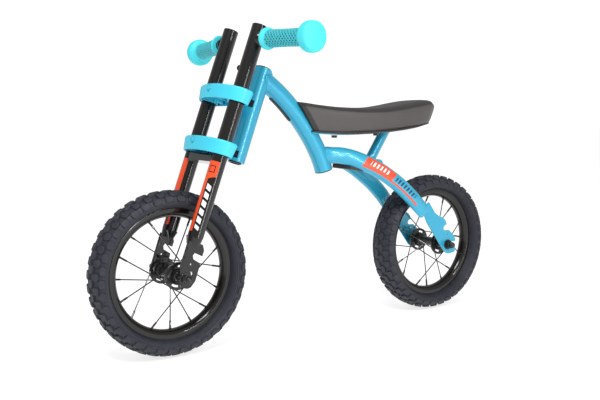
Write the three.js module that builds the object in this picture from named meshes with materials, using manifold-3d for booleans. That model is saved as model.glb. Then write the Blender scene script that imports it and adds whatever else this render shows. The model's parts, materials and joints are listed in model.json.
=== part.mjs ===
// A child's motocross-style balance bike, in millimetres: +X forward, +Y to the rider's left, +Z up.
// The origin is on the ground, half way between the two wheels.
import * as THREE from "three";
import { mergeVertices } from "three/addons/utils/BufferGeometryUtils.js";
import Module from "manifold-3d";

const wasm = await Module();
wasm.setup();

// Driving dimensions.
const GAP = 0.3; // between touching parts
const WHEEL_R = 152; // a 12 1/2 inch wheel
const WHEELBASE = 645;
const RAKE = 20; // lean of the steering axis and the legs, in degrees from upright

// Wheels: the profiles are (radius, distance from the wheel's middle plane).
const TYRE_HALF_WIDTH = 31.6;
const RIM_OUTER_R = 119.6;
const RIM_INNER_R = 100.3;
const RIM_HALF_WIDTH = 13;
const HUB_FLANGE_R = 25.7;
const HUB_FLANGE_Y = 33.3;
const HUB_FLANGE_T = 3;
const HUB_BARREL_R = 11;
const HUB_BORE_R = 9.3;
const SPOKES_A_SIDE = 8;
const SPOKE_R = 1.2;
const SPOKE_LACE = 50; // degrees between a spoke's foot and its tip
const SPOKE_RING = 2.4;
const WHEEL_SEGMENTS = 24;
const AXLE_R = 5;
const NUT_LENGTH = 19.5;

// Fork, in its own leaning frame: x = ahead of the leg line, z = up the legs from the front axle.
const LEG_Y = 53;
const LEG_R = 14.3;
const LEG_WALL = 2;
const LEG_FOOT_Z = 74;
const LEG_TOP_Z = 476;
const STEER_X = -62; // the steering axis runs behind the legs
const STEERER_R = 12.7;
const HEAD_R = 18.5;
const HEAD_WALL = 2.3;
const HEAD_BOTTOM_Z = 233;
const HEAD_TOP_Z = 420;
const STEER_LIMIT = 35;
const CROWN_HEIGHT = 26;
const CROWN_BOW = 36.5;
const CROWN_HALF_WIDTH = 78;
const CROWN_BACK = 21;
const CROWN_WALL = 3.2;
const CROWNS = { bottom: 227.5, top: 327.5 }; // height of each crown's lower edge
const TONGUE_WIDTH = 14;
const TONGUE_HEIGHT = 12;
const TONGUE_RISE = 12.5;
const BAR_Z = 450;
const BAR_R = 11;
const GRIP_REACH = 156;
const GRIP_SWEEP = 20;
const FRONT_PLATE_Y = 60.2;
const REAR_PLATE_Y = 56.5;
const PLATE_T = 3;

// Frame.
const TUBE_R = 18.5;
const TUBE_WALL = 2;
const STAY_R = 17; // half height of the oval stays
const STAY_SQUEEZE = 0.74; // their width over their height
const STRUT_R = 10.8;
const BRIDGE_X = -141; // the cross tube under the seat strut
const BRIDGE_Z = 337;
const BRIDGE_R = 9;
const SEAT_HALF_WIDTH = 57;

const REAR_X = -WHEELBASE / 2;
const FRONT_X = WHEELBASE / 2;
const V = (x, y, z) => new THREE.Vector3(x, y, z);
const rad = THREE.MathUtils.degToRad;

// ---- Solids -----------------------------------------------------------------------------------

// A closed geometry as a solid that can be joined and cut.
function solid(geometry) {
  const bare = geometry.clone();
  bare.deleteAttribute("normal");
  bare.deleteAttribute("uv");
  const merged = mergeVertices(bare, 1e-4);
  return new wasm.Manifold(
    new wasm.Mesh({
      numProp: 3,
      vertProperties: merged.attributes.position.array,
      triVerts: new Uint32Array(merged.index.array),
    }),
  );
}

// A solid's surface as a geometry.
function surface(shape) {
  const mesh = shape.getMesh();
  const geometry = new THREE.BufferGeometry();
  geometry.setAttribute("position", new THREE.BufferAttribute(mesh.vertProperties, 3));
  geometry.setIndex(new THREE.BufferAttribute(mesh.triVerts, 1));
  geometry.computeVertexNormals();
  return geometry;
}

const join = (...shapes) => shapes.reduce((a, b) => a.add(b));
const cut = (shape, ...tools) => tools.reduce((a, b) => a.subtract(b), shape);

// A round bar between two points.
function rod(from, to, radius, sides = 20, endRadius = radius) {
  const along = to.clone().sub(from);
  const geometry = new THREE.CylinderGeometry(endRadius, radius, along.length(), sides);
  geometry.translate(0, along.length() / 2, 0);
  geometry.applyQuaternion(new THREE.Quaternion().setFromUnitVectors(V(0, 1, 0), along.normalize()));
  return geometry.translate(from.x, from.y, from.z);
}

function box(low, high) {
  const size = high.clone().sub(low);
  const middle = low.clone().add(high).multiplyScalar(0.5);
  return new THREE.BoxGeometry(size.x, size.y, size.z).translate(middle.x, middle.y, middle.z);
}

// A profile of [radius, height] points turned round +Y. It starts and ends on the axis, or closes on
// itself, and may be given either way round.
function turned(profile, segments) {
  const points = profile.map(([r, h]) => new THREE.Vector2(r, h));
  if (THREE.ShapeUtils.area(points) < 0) points.reverse();
  return new THREE.LatheGeometry(points, segments);
}

// A sleeve round +Z.
function sleeve(outer, inner, bottom, top, segments = 24) {
  const loop = [[inner, bottom], [outer, bottom], [outer, top], [inner, top], [inner, bottom]];
  return turned(loop, segments).rotateX(Math.PI / 2);
}

// A flat outline in x and y, thickened from z = bottom to z = top.
function slab(shape, bottom, top, curveSegments = 12) {
  return new THREE.ExtrudeGeometry(shape, { depth: top - bottom, bevelEnabled: false, curveSegments })
    .translate(0, 0, bottom);
}

// A flat outline in x (forward) and z (up), thickened from y = inner to y = outer.
function sidePlate(shape, inner, outer, curveSegments = 8) {
  return slab(shape, -outer, -inner, curveSegments).rotateX(Math.PI / 2);
}

function outline(points) {
  return new THREE.Shape(points.map(([x, y]) => new THREE.Vector2(x, y)));
}

// A round tube along a curve: hollow where a wall is given.
function tube(curve, radius, wall, steps, sides) {
  const section = new THREE.Shape().absarc(0, 0, radius, 0, 2 * Math.PI);
  if (wall) section.holes.push(new THREE.Path().absarc(0, 0, radius - wall, 0, 2 * Math.PI, true));
  return new THREE.ExtrudeGeometry(section, {
    steps,
    extrudePath: curve,
    curveSegments: sides,
    bevelEnabled: false,
  });
}

// ---- Finishes ---------------------------------------------------------------------------------

const FINISHES = {
  blue_paint: { color: 0x35b5d8, metalness: 0.35, roughness: 0.25 },
  black_paint: { color: 0x2e2c2b, metalness: 0.2, roughness: 0.22 },
  crown_plastic: { color: 0x46d2f2, metalness: 0, roughness: 0.35 },
  grip_rubber: { color: 0x49d6ee, metalness: 0, roughness: 0.55 },
  tyre_rubber: { color: 0x2b2e38, metalness: 0, roughness: 0.85 },
  rim_metal: { color: 0x2a2723, metalness: 0.4, roughness: 0.35 },
  black_metal: { color: 0x1f1f20, metalness: 0.6, roughness: 0.4 },
  bright_steel: { color: 0x9a9a9c, metalness: 1, roughness: 0.3 },
  black_plastic: { color: 0x1d1d1f, metalness: 0, roughness: 0.5 },
  saddle_skin: { color: 0x57514f, metalness: 0, roughness: 0.6 },
};

const bike = new THREE.Group();
const steering = new THREE.Group(); // leans with the head tube; its origin is the front axle
steering.position.set(FRONT_X, 0, WHEEL_R);
steering.rotation.y = -rad(RAKE);
bike.add(steering);

function place(name, shape, finish, parent = bike) {
  const geometry = shape.isBufferGeometry ? shape : surface(shape);
  const mesh = new THREE.Mesh(geometry, new THREE.MeshStandardMaterial(FINISHES[finish]));
  mesh.name = name;
  parent.add(mesh);
  return mesh;
}

// A geometry given in the leaning frame, moved to the bike's own frame.
function leaning(geometry) {
  return geometry.rotateY(-rad(RAKE)).translate(FRONT_X, 0, WHEEL_R);
}

const SIDES = { left: 1, right: -1 };

// ---- Wheels: each is built round +Y at its own centre -------------------------------------------

// A U-shaped section as a closed loop: the outer line runs from the edge to the crown, the inner one
// back from the crown to the edge, and the other half mirrors them.
function ringLoop(outer, inner) {
  const mirror = (points) => points.map(([r, y]) => [r, -y]).reverse();
  return [...outer, ...mirror(outer), ...mirror(inner), ...inner, outer[0]];
}

function tyre() {
  const outer = [[107, 11], [120.4, 11], [123, 25], [132, TYRE_HALF_WIDTH], [144.5, 29], [WHEEL_R, 8]];
  const inner = [[147.4, 8], [139, 25], [123, 7.4], [107, 7.4]];
  return turned(ringLoop(outer, inner), WHEEL_SEGMENTS);
}

function rim() {
  const lip = RIM_HALF_WIDTH - 1.6;
  const half = [[RIM_INNER_R, 8], [108, RIM_HALF_WIDTH], [RIM_OUTER_R, RIM_HALF_WIDTH], [RIM_OUTER_R, lip],
    [106.4, lip], [103.4, 7]];
  const mirrored = half.map(([r, y]) => [r, -y]).reverse();
  return turned([...half, ...mirrored, half[0]], WHEEL_SEGMENTS);
}

function hub() {
  const inside = HUB_FLANGE_Y - HUB_FLANGE_T / 2;
  const outside = HUB_FLANGE_Y + HUB_FLANGE_T / 2;
  const half = [[HUB_BARREL_R, inside - 4], [HUB_BARREL_R + 3, inside], [HUB_FLANGE_R, inside],
    [HUB_FLANGE_R, outside], [HUB_BARREL_R + 1, outside], [HUB_BARREL_R + 1, outside + 2.6],
    [HUB_BORE_R, outside + 2.6]];
  const mirrored = half.map(([r, y]) => [r, -y]).reverse();
  return turned([...mirrored, ...half, mirrored[0]], 18);
}

// One side's spokes: each leaves the hub flange at a slant and ends at the rim. A thin ring round the
// flange's edge holds their heads together.
function spokes(side) {
  const low = HUB_FLANGE_Y - SPOKE_RING / 2;
  const ringR = HUB_FLANGE_R + 1;
  const band = sleeve(ringR + SPOKE_RING, ringR, low, low + SPOKE_RING, 16);
  const ring = solid(band.rotateX((-Math.PI / 2) * side));
  const footR = ringR + SPOKE_RING / 2;
  const tipR = RIM_INNER_R - 2;
  const step = (2 * Math.PI) / SPOKES_A_SIDE;
  const shapes = [];
  for (let k = 0; k < SPOKES_A_SIDE; k++) {
    const atRim = (k + (side > 0 ? 0.5 : 0)) * step;
    const atHub = atRim + (k % 2 ? 1 : -1) * rad(SPOKE_LACE);
    const foot = V(footR * Math.cos(atHub), side * HUB_FLANGE_Y, footR * Math.sin(atHub));
    const tip = V(tipR * Math.cos(atRim), side * 3.5, tipR * Math.sin(atRim));
    shapes.push(solid(rod(foot, tip, SPOKE_R, 5)));
  }
  return join(ring, ...shapes);
}

function wheel(name, x) {
  const group = new THREE.Group();
  group.position.set(x, 0, WHEEL_R);
  bike.add(group);
  place(`${name}_tyre`, tyre(), "tyre_rubber", group);
  place(`${name}_rim`, rim(), "rim_metal", group);
  place(`${name}_hub`, hub(), "black_metal", group);
  for (const [label, side] of Object.entries(SIDES)) {
    place(`${name}_spokes_${label}`, spokes(side), "black_metal", group);
    const bearing = sleeve(HUB_BORE_R - GAP - 0.2, AXLE_R + GAP, 29, 37, 12).rotateX((-side * Math.PI) / 2);
    place(`${name}_bearing_${label}`, bearing, "bright_steel", group);
  }
}

// The axle, its spacers and its domed nuts, outside the hub bearings and either side of a pair of plates.
function axle(name, plateY, parent, position) {
  const group = new THREE.Group();
  group.position.copy(position);
  parent.add(group);
  const outer = plateY + PLATE_T + GAP;
  const end = outer + NUT_LENGTH - 6;
  place(`${name}_axle`, rod(V(0, -end, 0), V(0, end, 0), AXLE_R, 12), "bright_steel", group);
  for (const [label, side] of Object.entries(SIDES)) {
    const spacer = sleeve(8, AXLE_R + GAP, 37.6, plateY - GAP, 12).rotateX((-side * Math.PI) / 2);
    place(`${name}_spacer_${label}`, spacer, "black_metal", group);
    const bore = AXLE_R + GAP;
    const flange = solid(sleeve(11, bore, outer, outer + 2, 12));
    const hex = solid(sleeve(8.6, bore / Math.cos(Math.PI / 6), outer, outer + 9.5, 6));
    const dome = solid(turned([[0, end + 1], [bore, end + 1], [bore, outer + 1], [6.9, outer + 1],
      [6.9, outer + 14], [4.6, outer + 18], [0, outer + NUT_LENGTH]], 12).rotateX(Math.PI / 2));
    const nut = surface(join(flange, hex, dome)).rotateX((-side * Math.PI) / 2);
    place(`${name}_nut_${label}`, nut, "black_metal", group);
  }
}

// ---- Fork: in the leaning frame -----------------------------------------------------------------

// The crown's plan: a half ellipse ahead of the leg line, and a straight back with rounded corners.
function crownPlan(inset) {
  const half = CROWN_HALF_WIDTH - inset;
  const back = CROWN_BACK - inset;
  const plan = new THREE.Shape();
  plan.moveTo(-back, half - 11);
  plan.lineTo(-back, -half + 11);
  plan.quadraticCurveTo(-back, -half + 4, -back + 8, -half + 2);
  plan.lineTo(0, -half);
  plan.absellipse(0, 0, CROWN_BOW - inset, half, -Math.PI / 2, Math.PI / 2);
  plan.lineTo(-back + 8, half - 2);
  plan.quadraticCurveTo(-back, half - 4, -back, half - 11);
  return plan;
}

// A moulded crown, open underneath: a skin with sleeves round the legs, and a tongue that goes back
// through the head tube's window to the steerer.
function crown(bottom, bossDrop) {
  const top = bottom + CROWN_HEIGHT;
  const skin = solid(slab(crownPlan(0), bottom, top, 7));
  const pocket = solid(slab(crownPlan(CROWN_WALL), bottom - 1, top - CROWN_WALL, 7));
  const tongueBottom = bottom + TONGUE_RISE;
  const tongueEnd = STEER_X + STEERER_R + GAP;
  const halfTongue = TONGUE_WIDTH / 2;
  const rib = solid(box(V(-CROWN_BACK + 1, -halfTongue, bottom + 3), V(CROWN_BOW - 2, halfTongue, top - 1)));
  const tongueTop = tongueBottom + TONGUE_HEIGHT;
  const tongue = solid(box(V(tongueEnd, -halfTongue, tongueBottom), V(-10, halfTongue, tongueTop)));
  const sockets = Object.values(SIDES).map((side) => solid(
    sleeve(LEG_R + GAP + 3, LEG_R - 2, bottom + 1.5, top - 1, 16).translate(0, side * LEG_Y, 0)));
  const bosses = Object.values(SIDES).map((side) => solid(
    rod(V(-5, side * 25, bottom - bossDrop), V(-5, side * 25, top - 1), 8.5, 10)));
  const legs = Object.values(SIDES).map((side) => solid(
    rod(V(0, side * LEG_Y, bottom - 5), V(0, side * LEG_Y, top + 5), LEG_R + GAP, 18)));
  const boltZ = tongueBottom + TONGUE_HEIGHT / 2;
  const bolt = solid(rod(V(STEER_X, 0, boltZ), V(CROWN_BOW + 5, 0, boltZ), 4 + GAP, 8));
  const boltHead = solid(rod(V(CROWN_BOW - 9, 0, boltZ), V(CROWN_BOW + 5, 0, boltZ), 7.6, 14));
  return cut(join(cut(skin, pocket), rib, tongue, ...sockets, ...bosses), ...legs, bolt, boltHead);
}

// The long screw that holds a crown to the steerer, behind its round cover.
function crownScrew(bottom) {
  const z = bottom + TONGUE_RISE + TONGUE_HEIGHT / 2;
  const shank = solid(rod(V(STEER_X + STEERER_R - 4, 0, z), V(CROWN_BOW - 8, 0, z), 3.9, 8));
  const head = solid(rod(V(CROWN_BOW - 8.7, 0, z), V(CROWN_BOW - 3.5, 0, z), 6.5, 6));
  return join(shank, head);
}

function crownCover(bottom) {
  const z = bottom + TONGUE_RISE + TONGUE_HEIGHT / 2;
  return rod(V(CROWN_BOW - 3, 0, z), V(CROWN_BOW + 1, 0, z), 7.1, 16);
}

// A leg's lower end: a plug inside the leg, a cap with a lobe on the inner side, and the axle plate.
function forkEnd(side) {
  const plugR = LEG_R - LEG_WALL - GAP;
  const plug = solid(rod(V(0, LEG_Y, LEG_FOOT_Z - 4), V(0, LEG_Y, LEG_FOOT_Z + 14), plugR, 12));
  const cap = solid(rod(V(0, LEG_Y, LEG_FOOT_Z - 13), V(0, LEG_Y, LEG_FOOT_Z - GAP), LEG_R - 2, 16, LEG_R));
  const lobe = solid(rod(V(0, 38, LEG_FOOT_Z - 13), V(0, 41, LEG_FOOT_Z - 1), 5, 10, 11));
  const shape = outline([[-14, 66], [-19.5, 57], [-19.5, 46], [-3, 48], [-1, 43], [-4, 37],
    [-20, 33], [-20.5, 1]]);
  shape.lineTo(-16, -11);
  shape.quadraticCurveTo(-12, -16.5, -4, -16.5);
  shape.lineTo(3, -16.5);
  shape.lineTo(11.5, 4);
  shape.lineTo(12.5, 66);
  const half = new THREE.Path().absarc(-6.5, 9, 6, 0, Math.PI);
  const eye = new THREE.Path().absarc(-2.4, 27, 1.8, 0, 2 * Math.PI);
  const axleHole = new THREE.Path().absarc(0, 0, AXLE_R + GAP, 0, 2 * Math.PI);
  shape.holes.push(half, eye, axleHole);
  const plate = solid(sidePlate(shape, FRONT_PLATE_Y, FRONT_PLATE_Y + PLATE_T, 5));
  const flange = solid(box(V(9, FRONT_PLATE_Y - 9, 5), V(11.5, FRONT_PLATE_Y + 1, LEG_FOOT_Z - 9)));
  const end = surface(join(plug, cap, lobe, plate, flange));
  return side > 0 ? end : mirrored(end);
}

// The same part on the other side of the bike.
function mirrored(geometry) {
  const flipped = (geometry.index ? geometry.toNonIndexed() : geometry.clone()).scale(1, -1, 1);
  const p = flipped.attributes.position;
  for (let i = 0; i < p.count; i += 3) {
    const b = V().fromBufferAttribute(p, i + 1);
    const c = V().fromBufferAttribute(p, i + 2);
    p.setXYZ(i + 1, c.x, c.y, c.z);
    p.setXYZ(i + 2, b.x, b.y, b.z);
  }
  flipped.computeVertexNormals();
  return flipped;
}

// The bar that sweeps out and back from a leg, with its end shaped to the leg.
function bar() {
  const along = rod(V(0, 0, 0), V(0, GRIP_REACH - 8, 0), BAR_R, 16);
  return cut(solid(along), solid(rod(V(0, 0, -60), V(0, 0, 60), LEG_R + GAP, 24).rotateZ(barTurn())));
}

const barTurn = () => -Math.atan2(GRIP_SWEEP, GRIP_REACH);

function grip() {
  const bore = BAR_R + GAP;
  const start = 31;
  const knob = GRIP_REACH - 13;
  return turned([[0, GRIP_REACH - 6], [bore, GRIP_REACH - 6], [bore, start], [20, start], [20.5, start + 4],
    [17, start + 9], [16, start + 20], [15.2, knob - 8], [20, knob - 4], [26.5, knob + 2], [27, knob + 9],
    [22, knob + 17], [12, knob + 21.5], [0, knob + 23]], 16);
}

function fork() {
  const leg = () => sleeve(LEG_R, LEG_R - LEG_WALL, LEG_FOOT_Z, LEG_TOP_Z, 24);
  for (const [label, side] of Object.entries(SIDES)) {
    place(`leg_${label}`, leg(), "black_paint", steering).position.y = side * LEG_Y;
    place(`fork_end_${label}`, forkEnd(side), "black_paint", steering);
    const turn = new THREE.Group();
    turn.position.set(0, side * LEG_Y, BAR_Z);
    turn.rotation.z = side > 0 ? -barTurn() : Math.PI + barTurn();
    steering.add(turn);
    place(`bar_${label}`, bar(), "black_paint", turn);
    place(`grip_${label}`, grip(), "grip_rubber", turn);
  }
  for (const [label, bottom] of Object.entries(CROWNS)) {
    place(`crown_${label}`, crown(bottom, label === "top" ? 9 : -6), "crown_plastic", steering);
    place(`crown_screw_${label}`, crownScrew(bottom), "bright_steel", steering);
    place(`crown_cover_${label}`, crownCover(bottom), "crown_plastic", steering);
  }
  const column = solid(sleeve(STEERER_R, STEERER_R - 2.2, HEAD_BOTTOM_Z - 3, HEAD_TOP_Z + 3, 16));
  const holes = Object.values(CROWNS).map((bottom) => {
    const z = bottom + TONGUE_RISE + TONGUE_HEIGHT / 2;
    return solid(rod(V(0, 0, z), V(40, 0, z), 4 + GAP, 12));
  });
  place("steerer", cut(column, ...holes), "bright_steel", steering).position.x = STEER_X;
  const cap = turned([[0, -12], [9.5, -12], [9.5, 0], [17, 0], [17, 2.2], [12, 4.4], [0, 5]], 14);
  cap.rotateX(Math.PI / 2).translate(STEER_X, 0, HEAD_TOP_Z + 3 + GAP);
  place("steerer_cap", cap, "black_plastic", steering);
  const bridgeTop = CROWNS.bottom - GAP;
  const bridgeBody = solid(box(V(-12, -LEG_Y, bridgeTop - 15), V(12, LEG_Y, bridgeTop)));
  const lip = solid(box(V(4, -LEG_Y, bridgeTop - 17.5), V(12, -22, bridgeTop - 10)));
  const legs = Object.values(SIDES).map((side) => solid(
    rod(V(0, side * LEG_Y, 100), V(0, side * LEG_Y, 300), LEG_R + GAP, 24)));
  const trim = solid(box(V(-40, LEG_Y - 9, 100), V(40, 90, 300)));
  const otherTrim = solid(box(V(-40, -90, 100), V(40, 9 - LEG_Y, 300)));
  place("fork_bridge", cut(join(bridgeBody, lip), ...legs, trim, otherTrim), "black_paint", steering);
  const ridges = [[0, 0], [5.5, 0], [5.5, 1.4], [4.4, 2.2], [5.5, 3], [4.4, 4], [3, 5], [0, 5.4]];
  const button = turned(ridges, 14);
  button.applyQuaternion(new THREE.Quaternion().setFromUnitVectors(V(0, 1, 0), V(0.5, -0.866, 0)));
  button.translate((LEG_R + GAP) * 0.5, LEG_Y - (LEG_R + GAP) * 0.866, 392);
  place("leg_button", button, "black_plastic", steering);
  axle("front", FRONT_PLATE_Y, steering, V(0, 0, 0));
}

// ---- Frame --------------------------------------------------------------------------------------

// The head tube, with a window at each crown that lets its tongue swing and stops it at the limits.
function headTube() {
  const wall = solid(sleeve(HEAD_R, HEAD_R - HEAD_WALL, HEAD_BOTTOM_Z, HEAD_TOP_Z, 28));
  const reach = Math.asin(TONGUE_WIDTH / 2 / (HEAD_R - HEAD_WALL)) + rad(STEER_LIMIT + 3);
  const windows = Object.values(CROWNS).map((bottom) => {
    const sector = new THREE.Shape();
    sector.moveTo(0, 0);
    sector.lineTo((HEAD_R + 6) * Math.cos(reach), -(HEAD_R + 6) * Math.sin(reach));
    sector.absarc(0, 0, HEAD_R + 6, -reach, reach);
    const low = bottom + TONGUE_RISE - 1;
    return solid(slab(sector, low, low + TONGUE_HEIGHT + 2, 12));
  });
  return surface(cut(wall, ...windows)).translate(STEER_X, 0, 0);
}

// The leaning point at (x, z) in the bike's own frame.
function leaningPoint(x, z) {
  return V(x, 0, z).applyAxisAngle(V(0, 1, 0), -rad(RAKE)).add(V(FRONT_X, 0, WHEEL_R));
}

const TUBE_FOOT = V(-23, 0, 327);
const mainCurve = () => new THREE.CubicBezierCurve3(
  leaningPoint(STEER_X, 400), V(72, 0, 480), V(-5, 0, 390), TUBE_FOOT);

function mainTube() {
  const hollow = solid(tube(mainCurve(), TUBE_R, TUBE_WALL, 10, 8));
  const head = solid(leaning(rod(V(STEER_X, 0, 200), V(STEER_X, 0, 480), HEAD_R + GAP, 28)));
  return cut(hollow, head);
}

function frontParts() {
  place("head_tube", headTube(), "blue_paint", steering);
  place("main_tube", largest(mainTube()), "blue_paint");
  const down = mainCurve().getTangent(1);
  const plugTop = TUBE_FOOT.clone().addScaledVector(down, -8);
  const lip = TUBE_FOOT.clone().addScaledVector(down, GAP);
  const plugFoot = lip.clone().addScaledVector(down, 0.5);
  const plugBody = solid(rod(plugTop, plugFoot, TUBE_R - TUBE_WALL - 1.5, 14));
  const plugLip = solid(rod(lip, lip.clone().addScaledVector(down, 2), TUBE_R - 0.4, 16));
  place("main_tube_plug", join(plugBody, plugLip), "black_plastic");
  const races = { upper: [HEAD_TOP_Z - 7, HEAD_TOP_Z], lower: [HEAD_BOTTOM_Z, HEAD_BOTTOM_Z + 5] };
  for (const [label, [bottom, top]] of Object.entries(races)) {
    const outer = HEAD_R - HEAD_WALL - 0.45;
    const race = sleeve(outer, STEERER_R + GAP, bottom, top, 16).translate(STEER_X, 0, 0);
    place(`${label}_steering_bearing`, race, "bright_steel", steering);
  }
  place("tube_pad", tubePad(), "black_plastic");
}

// Where two pieces are left by a cut, the larger one.
function largest(shape) {
  return shape.decompose().sort((a, b) => b.volume() - a.volume())[0];
}

// A thin rubber strip that follows the underside of the main tube.
function tubePad() {
  const outer = solid(tube(mainCurve(), TUBE_R + 4.6, 2.6, 12, 8));
  const keep = solid(box(V(46, -11, 395), V(94, 11, 470)));
  const curve = mainCurve();
  const above = curve.getPoints(28).map((p) => [p.x, p.z]);
  const upper = [...above, [-200, 300], [-200, 700], [300, 700]];
  const lid = solid(sidePlate(outline(upper), -60, 60));
  return largest(cut(outer.intersect(keep), lid));
}

// One of the two stays that sweep back from the main tube to the rear axle. They are drawn round and
// squeezed to an oval.
function stayCurve() {
  const points = [[-24, 13, 356], [-55, 18.5, 354], [-80, 27.5, 349], [-108, 35, 338], [-136, 40.5, 324],
    [-162, 44, 308], [-190, 47.5, 288], [-218, 49.5, 264], [-243, 51.2, 238]];
  const round = points.map(([x, y, z]) => V(x, y / STAY_SQUEEZE, z));
  return new THREE.CatmullRomCurve3(round, false, "centripetal");
}

function stay() {
  const oval = tube(stayCurve(), STAY_R, TUBE_WALL, 12, 7).scale(1, STAY_SQUEEZE, 1);
  const main = solid(tube(mainCurve(), TUBE_R + GAP, 0, 12, 8));
  const half = solid(box(V(-400, -60, 100), V(100, GAP, 500)));
  return largest(cut(solid(oval), main, half));
}

// The flat end of a stay, with the open slot for the axle and a round lobe above it.
function rearPlate() {
  const x = REAR_X;
  const shape = new THREE.Shape();
  shape.moveTo(x + 78, 236);
  shape.lineTo(x + 62, 204);
  shape.lineTo(x + 34, 168);
  shape.lineTo(x + 12, 140);
  shape.quadraticCurveTo(x + 4, 131, x - 4, 131);
  shape.lineTo(x - 22, 133);
  shape.quadraticCurveTo(x - 26, 137, x - 24, WHEEL_R - AXLE_R - GAP);
  shape.lineTo(x, WHEEL_R - AXLE_R - GAP);
  shape.absarc(x, WHEEL_R, AXLE_R + GAP, -Math.PI / 2, Math.PI / 2, false);
  shape.lineTo(x - 24, WHEEL_R + AXLE_R + GAP);
  shape.quadraticCurveTo(x - 26, 166, x - 14, 176);
  shape.lineTo(x - 4, 184);
  shape.lineTo(x + 8, 184);
  shape.quadraticCurveTo(x + 14, 186, x + 13, 191);
  shape.quadraticCurveTo(x + 11, 196, x + 3, 197);
  shape.quadraticCurveTo(x + 7, 213, x + 27, 217);
  shape.lineTo(x + 40, 226);
  shape.lineTo(x + 58, 250);
  const eye = new THREE.Path().absarc(x + 2, 176, 2, 0, 2 * Math.PI);
  shape.holes.push(eye);
  return sidePlate(shape, REAR_PLATE_Y, REAR_PLATE_Y + PLATE_T, 4);
}

function rearParts() {
  const left = stay();
  const plate = rearPlate();
  const room = solid(sidePlate(outline([[REAR_X + 20, 170], [REAR_X + 70, 190], [REAR_X + 95, 236],
    [REAR_X + 70, 262], [REAR_X + 30, 240]]), REAR_PLATE_Y - GAP, REAR_PLATE_Y + PLATE_T + GAP));
  const stayLeft = surface(largest(cut(left, room)));
  place("stay_left", stayLeft, "blue_paint");
  place("stay_right", mirrored(stayLeft), "blue_paint");
  place("rear_plate_left", plate, "blue_paint");
  place("rear_plate_right", mirrored(plate), "blue_paint");

  const stayHollow = solid(tube(stayCurve(), STAY_R + GAP, 0, 12, 7).scale(1, STAY_SQUEEZE, 1));
  const stayOther = solid(mirrored(tube(stayCurve(), STAY_R + GAP, 0, 12, 7).scale(1, STAY_SQUEEZE, 1)));
  const bridge = solid(rod(V(BRIDGE_X, -45, BRIDGE_Z), V(BRIDGE_X, 45, BRIDGE_Z), BRIDGE_R, 16));
  place("stay_bridge", largest(cut(bridge, stayHollow, stayOther)), "blue_paint");

  const strut = cut(solid(rod(V(BRIDGE_X, 0, BRIDGE_Z), V(-191, 0, 411), STRUT_R, 18)),
    solid(rod(V(BRIDGE_X, -60, BRIDGE_Z), V(BRIDGE_X, 60, BRIDGE_Z), BRIDGE_R + GAP, 16)),
    solid(sidePlate(seatPlateUnder(), -90, 90)));
  place("seat_strut", largest(strut), "blue_paint");

  const web = outline([[-62, -20], [-62, 20], [-70, 30], [-157, 48], [-157, -48], [-70, -30]]);
  const webSlab = slab(web, -3.5, 3.5).rotateY(-rad(8)).translate(0, 0, 341);
  place("foot_plate", largest(cut(solid(webSlab), stayHollow, stayOther)), "black_plastic");
  axle("rear", REAR_PLATE_Y, bike, V(REAR_X, 0, WHEEL_R));
}

// ---- Seat ---------------------------------------------------------------------------------------

const SEAT_TAIL_X = -303;

// The seat's underside, seen from the side.
function seatUnderline() {
  return new THREE.CatmullRomCurve3([V(20, 405.5, 0), V(-50, 401.5, 0), V(-120, 402.5, 0), V(-190, 408, 0),
    V(-285, 421, 0)]);
}

// Everything above the seat's underside, less a thickness: a tool that trims the strut.
function seatPlateUnder() {
  const points = seatUnderline().getPoints(16).map((p) => [p.x, p.y - 4.2]);
  return outline([...points, [-300, 600], [100, 600]]);
}

function seatPad() {
  const side = new THREE.Shape();
  const under = seatUnderline().getPoints(12);
  side.moveTo(under[0].x, under[0].y + 2.2);
  under.forEach((p) => side.lineTo(p.x, p.y + 2.2));
  side.lineTo(-300, 447);
  side.quadraticCurveTo(-306, 458, -296, 464);
  side.quadraticCurveTo(-262, 474, -225, 466);
  side.bezierCurveTo(-160, 452, -90, 447, -20, 452);
  side.lineTo(46, 463);
  side.lineTo(51, 458);
  const profile = solid(sidePlate(side, -70, 70, 6));
  const tool = solid(tube(mainCurve(), TUBE_R + 0.5, 0, 12, 8));
  return largest(cut(profile.intersect(solid(slab(seatPlan(0), 380, 500, 10))), tool));
}

// The seat from above: a narrow nose, wide hips and a round tail.
function seatPlan(inset) {
  const w = SEAT_HALF_WIDTH - inset;
  const nose = 27 - inset;
  const plan = new THREE.Shape();
  plan.moveTo(70, -nose + 5);
  plan.lineTo(70, nose - 5);
  plan.lineTo(20, nose);
  plan.bezierCurveTo(-60, nose + 4, -110, w, -200, w);
  plan.bezierCurveTo(SEAT_TAIL_X + 40, w, SEAT_TAIL_X + inset, w * 0.72, SEAT_TAIL_X + inset, 0);
  plan.bezierCurveTo(SEAT_TAIL_X + inset, -w * 0.72, SEAT_TAIL_X + 40, -w, -200, -w);
  plan.bezierCurveTo(-110, -w, -60, -nose - 4, 20, -nose);
  return plan;
}

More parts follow.
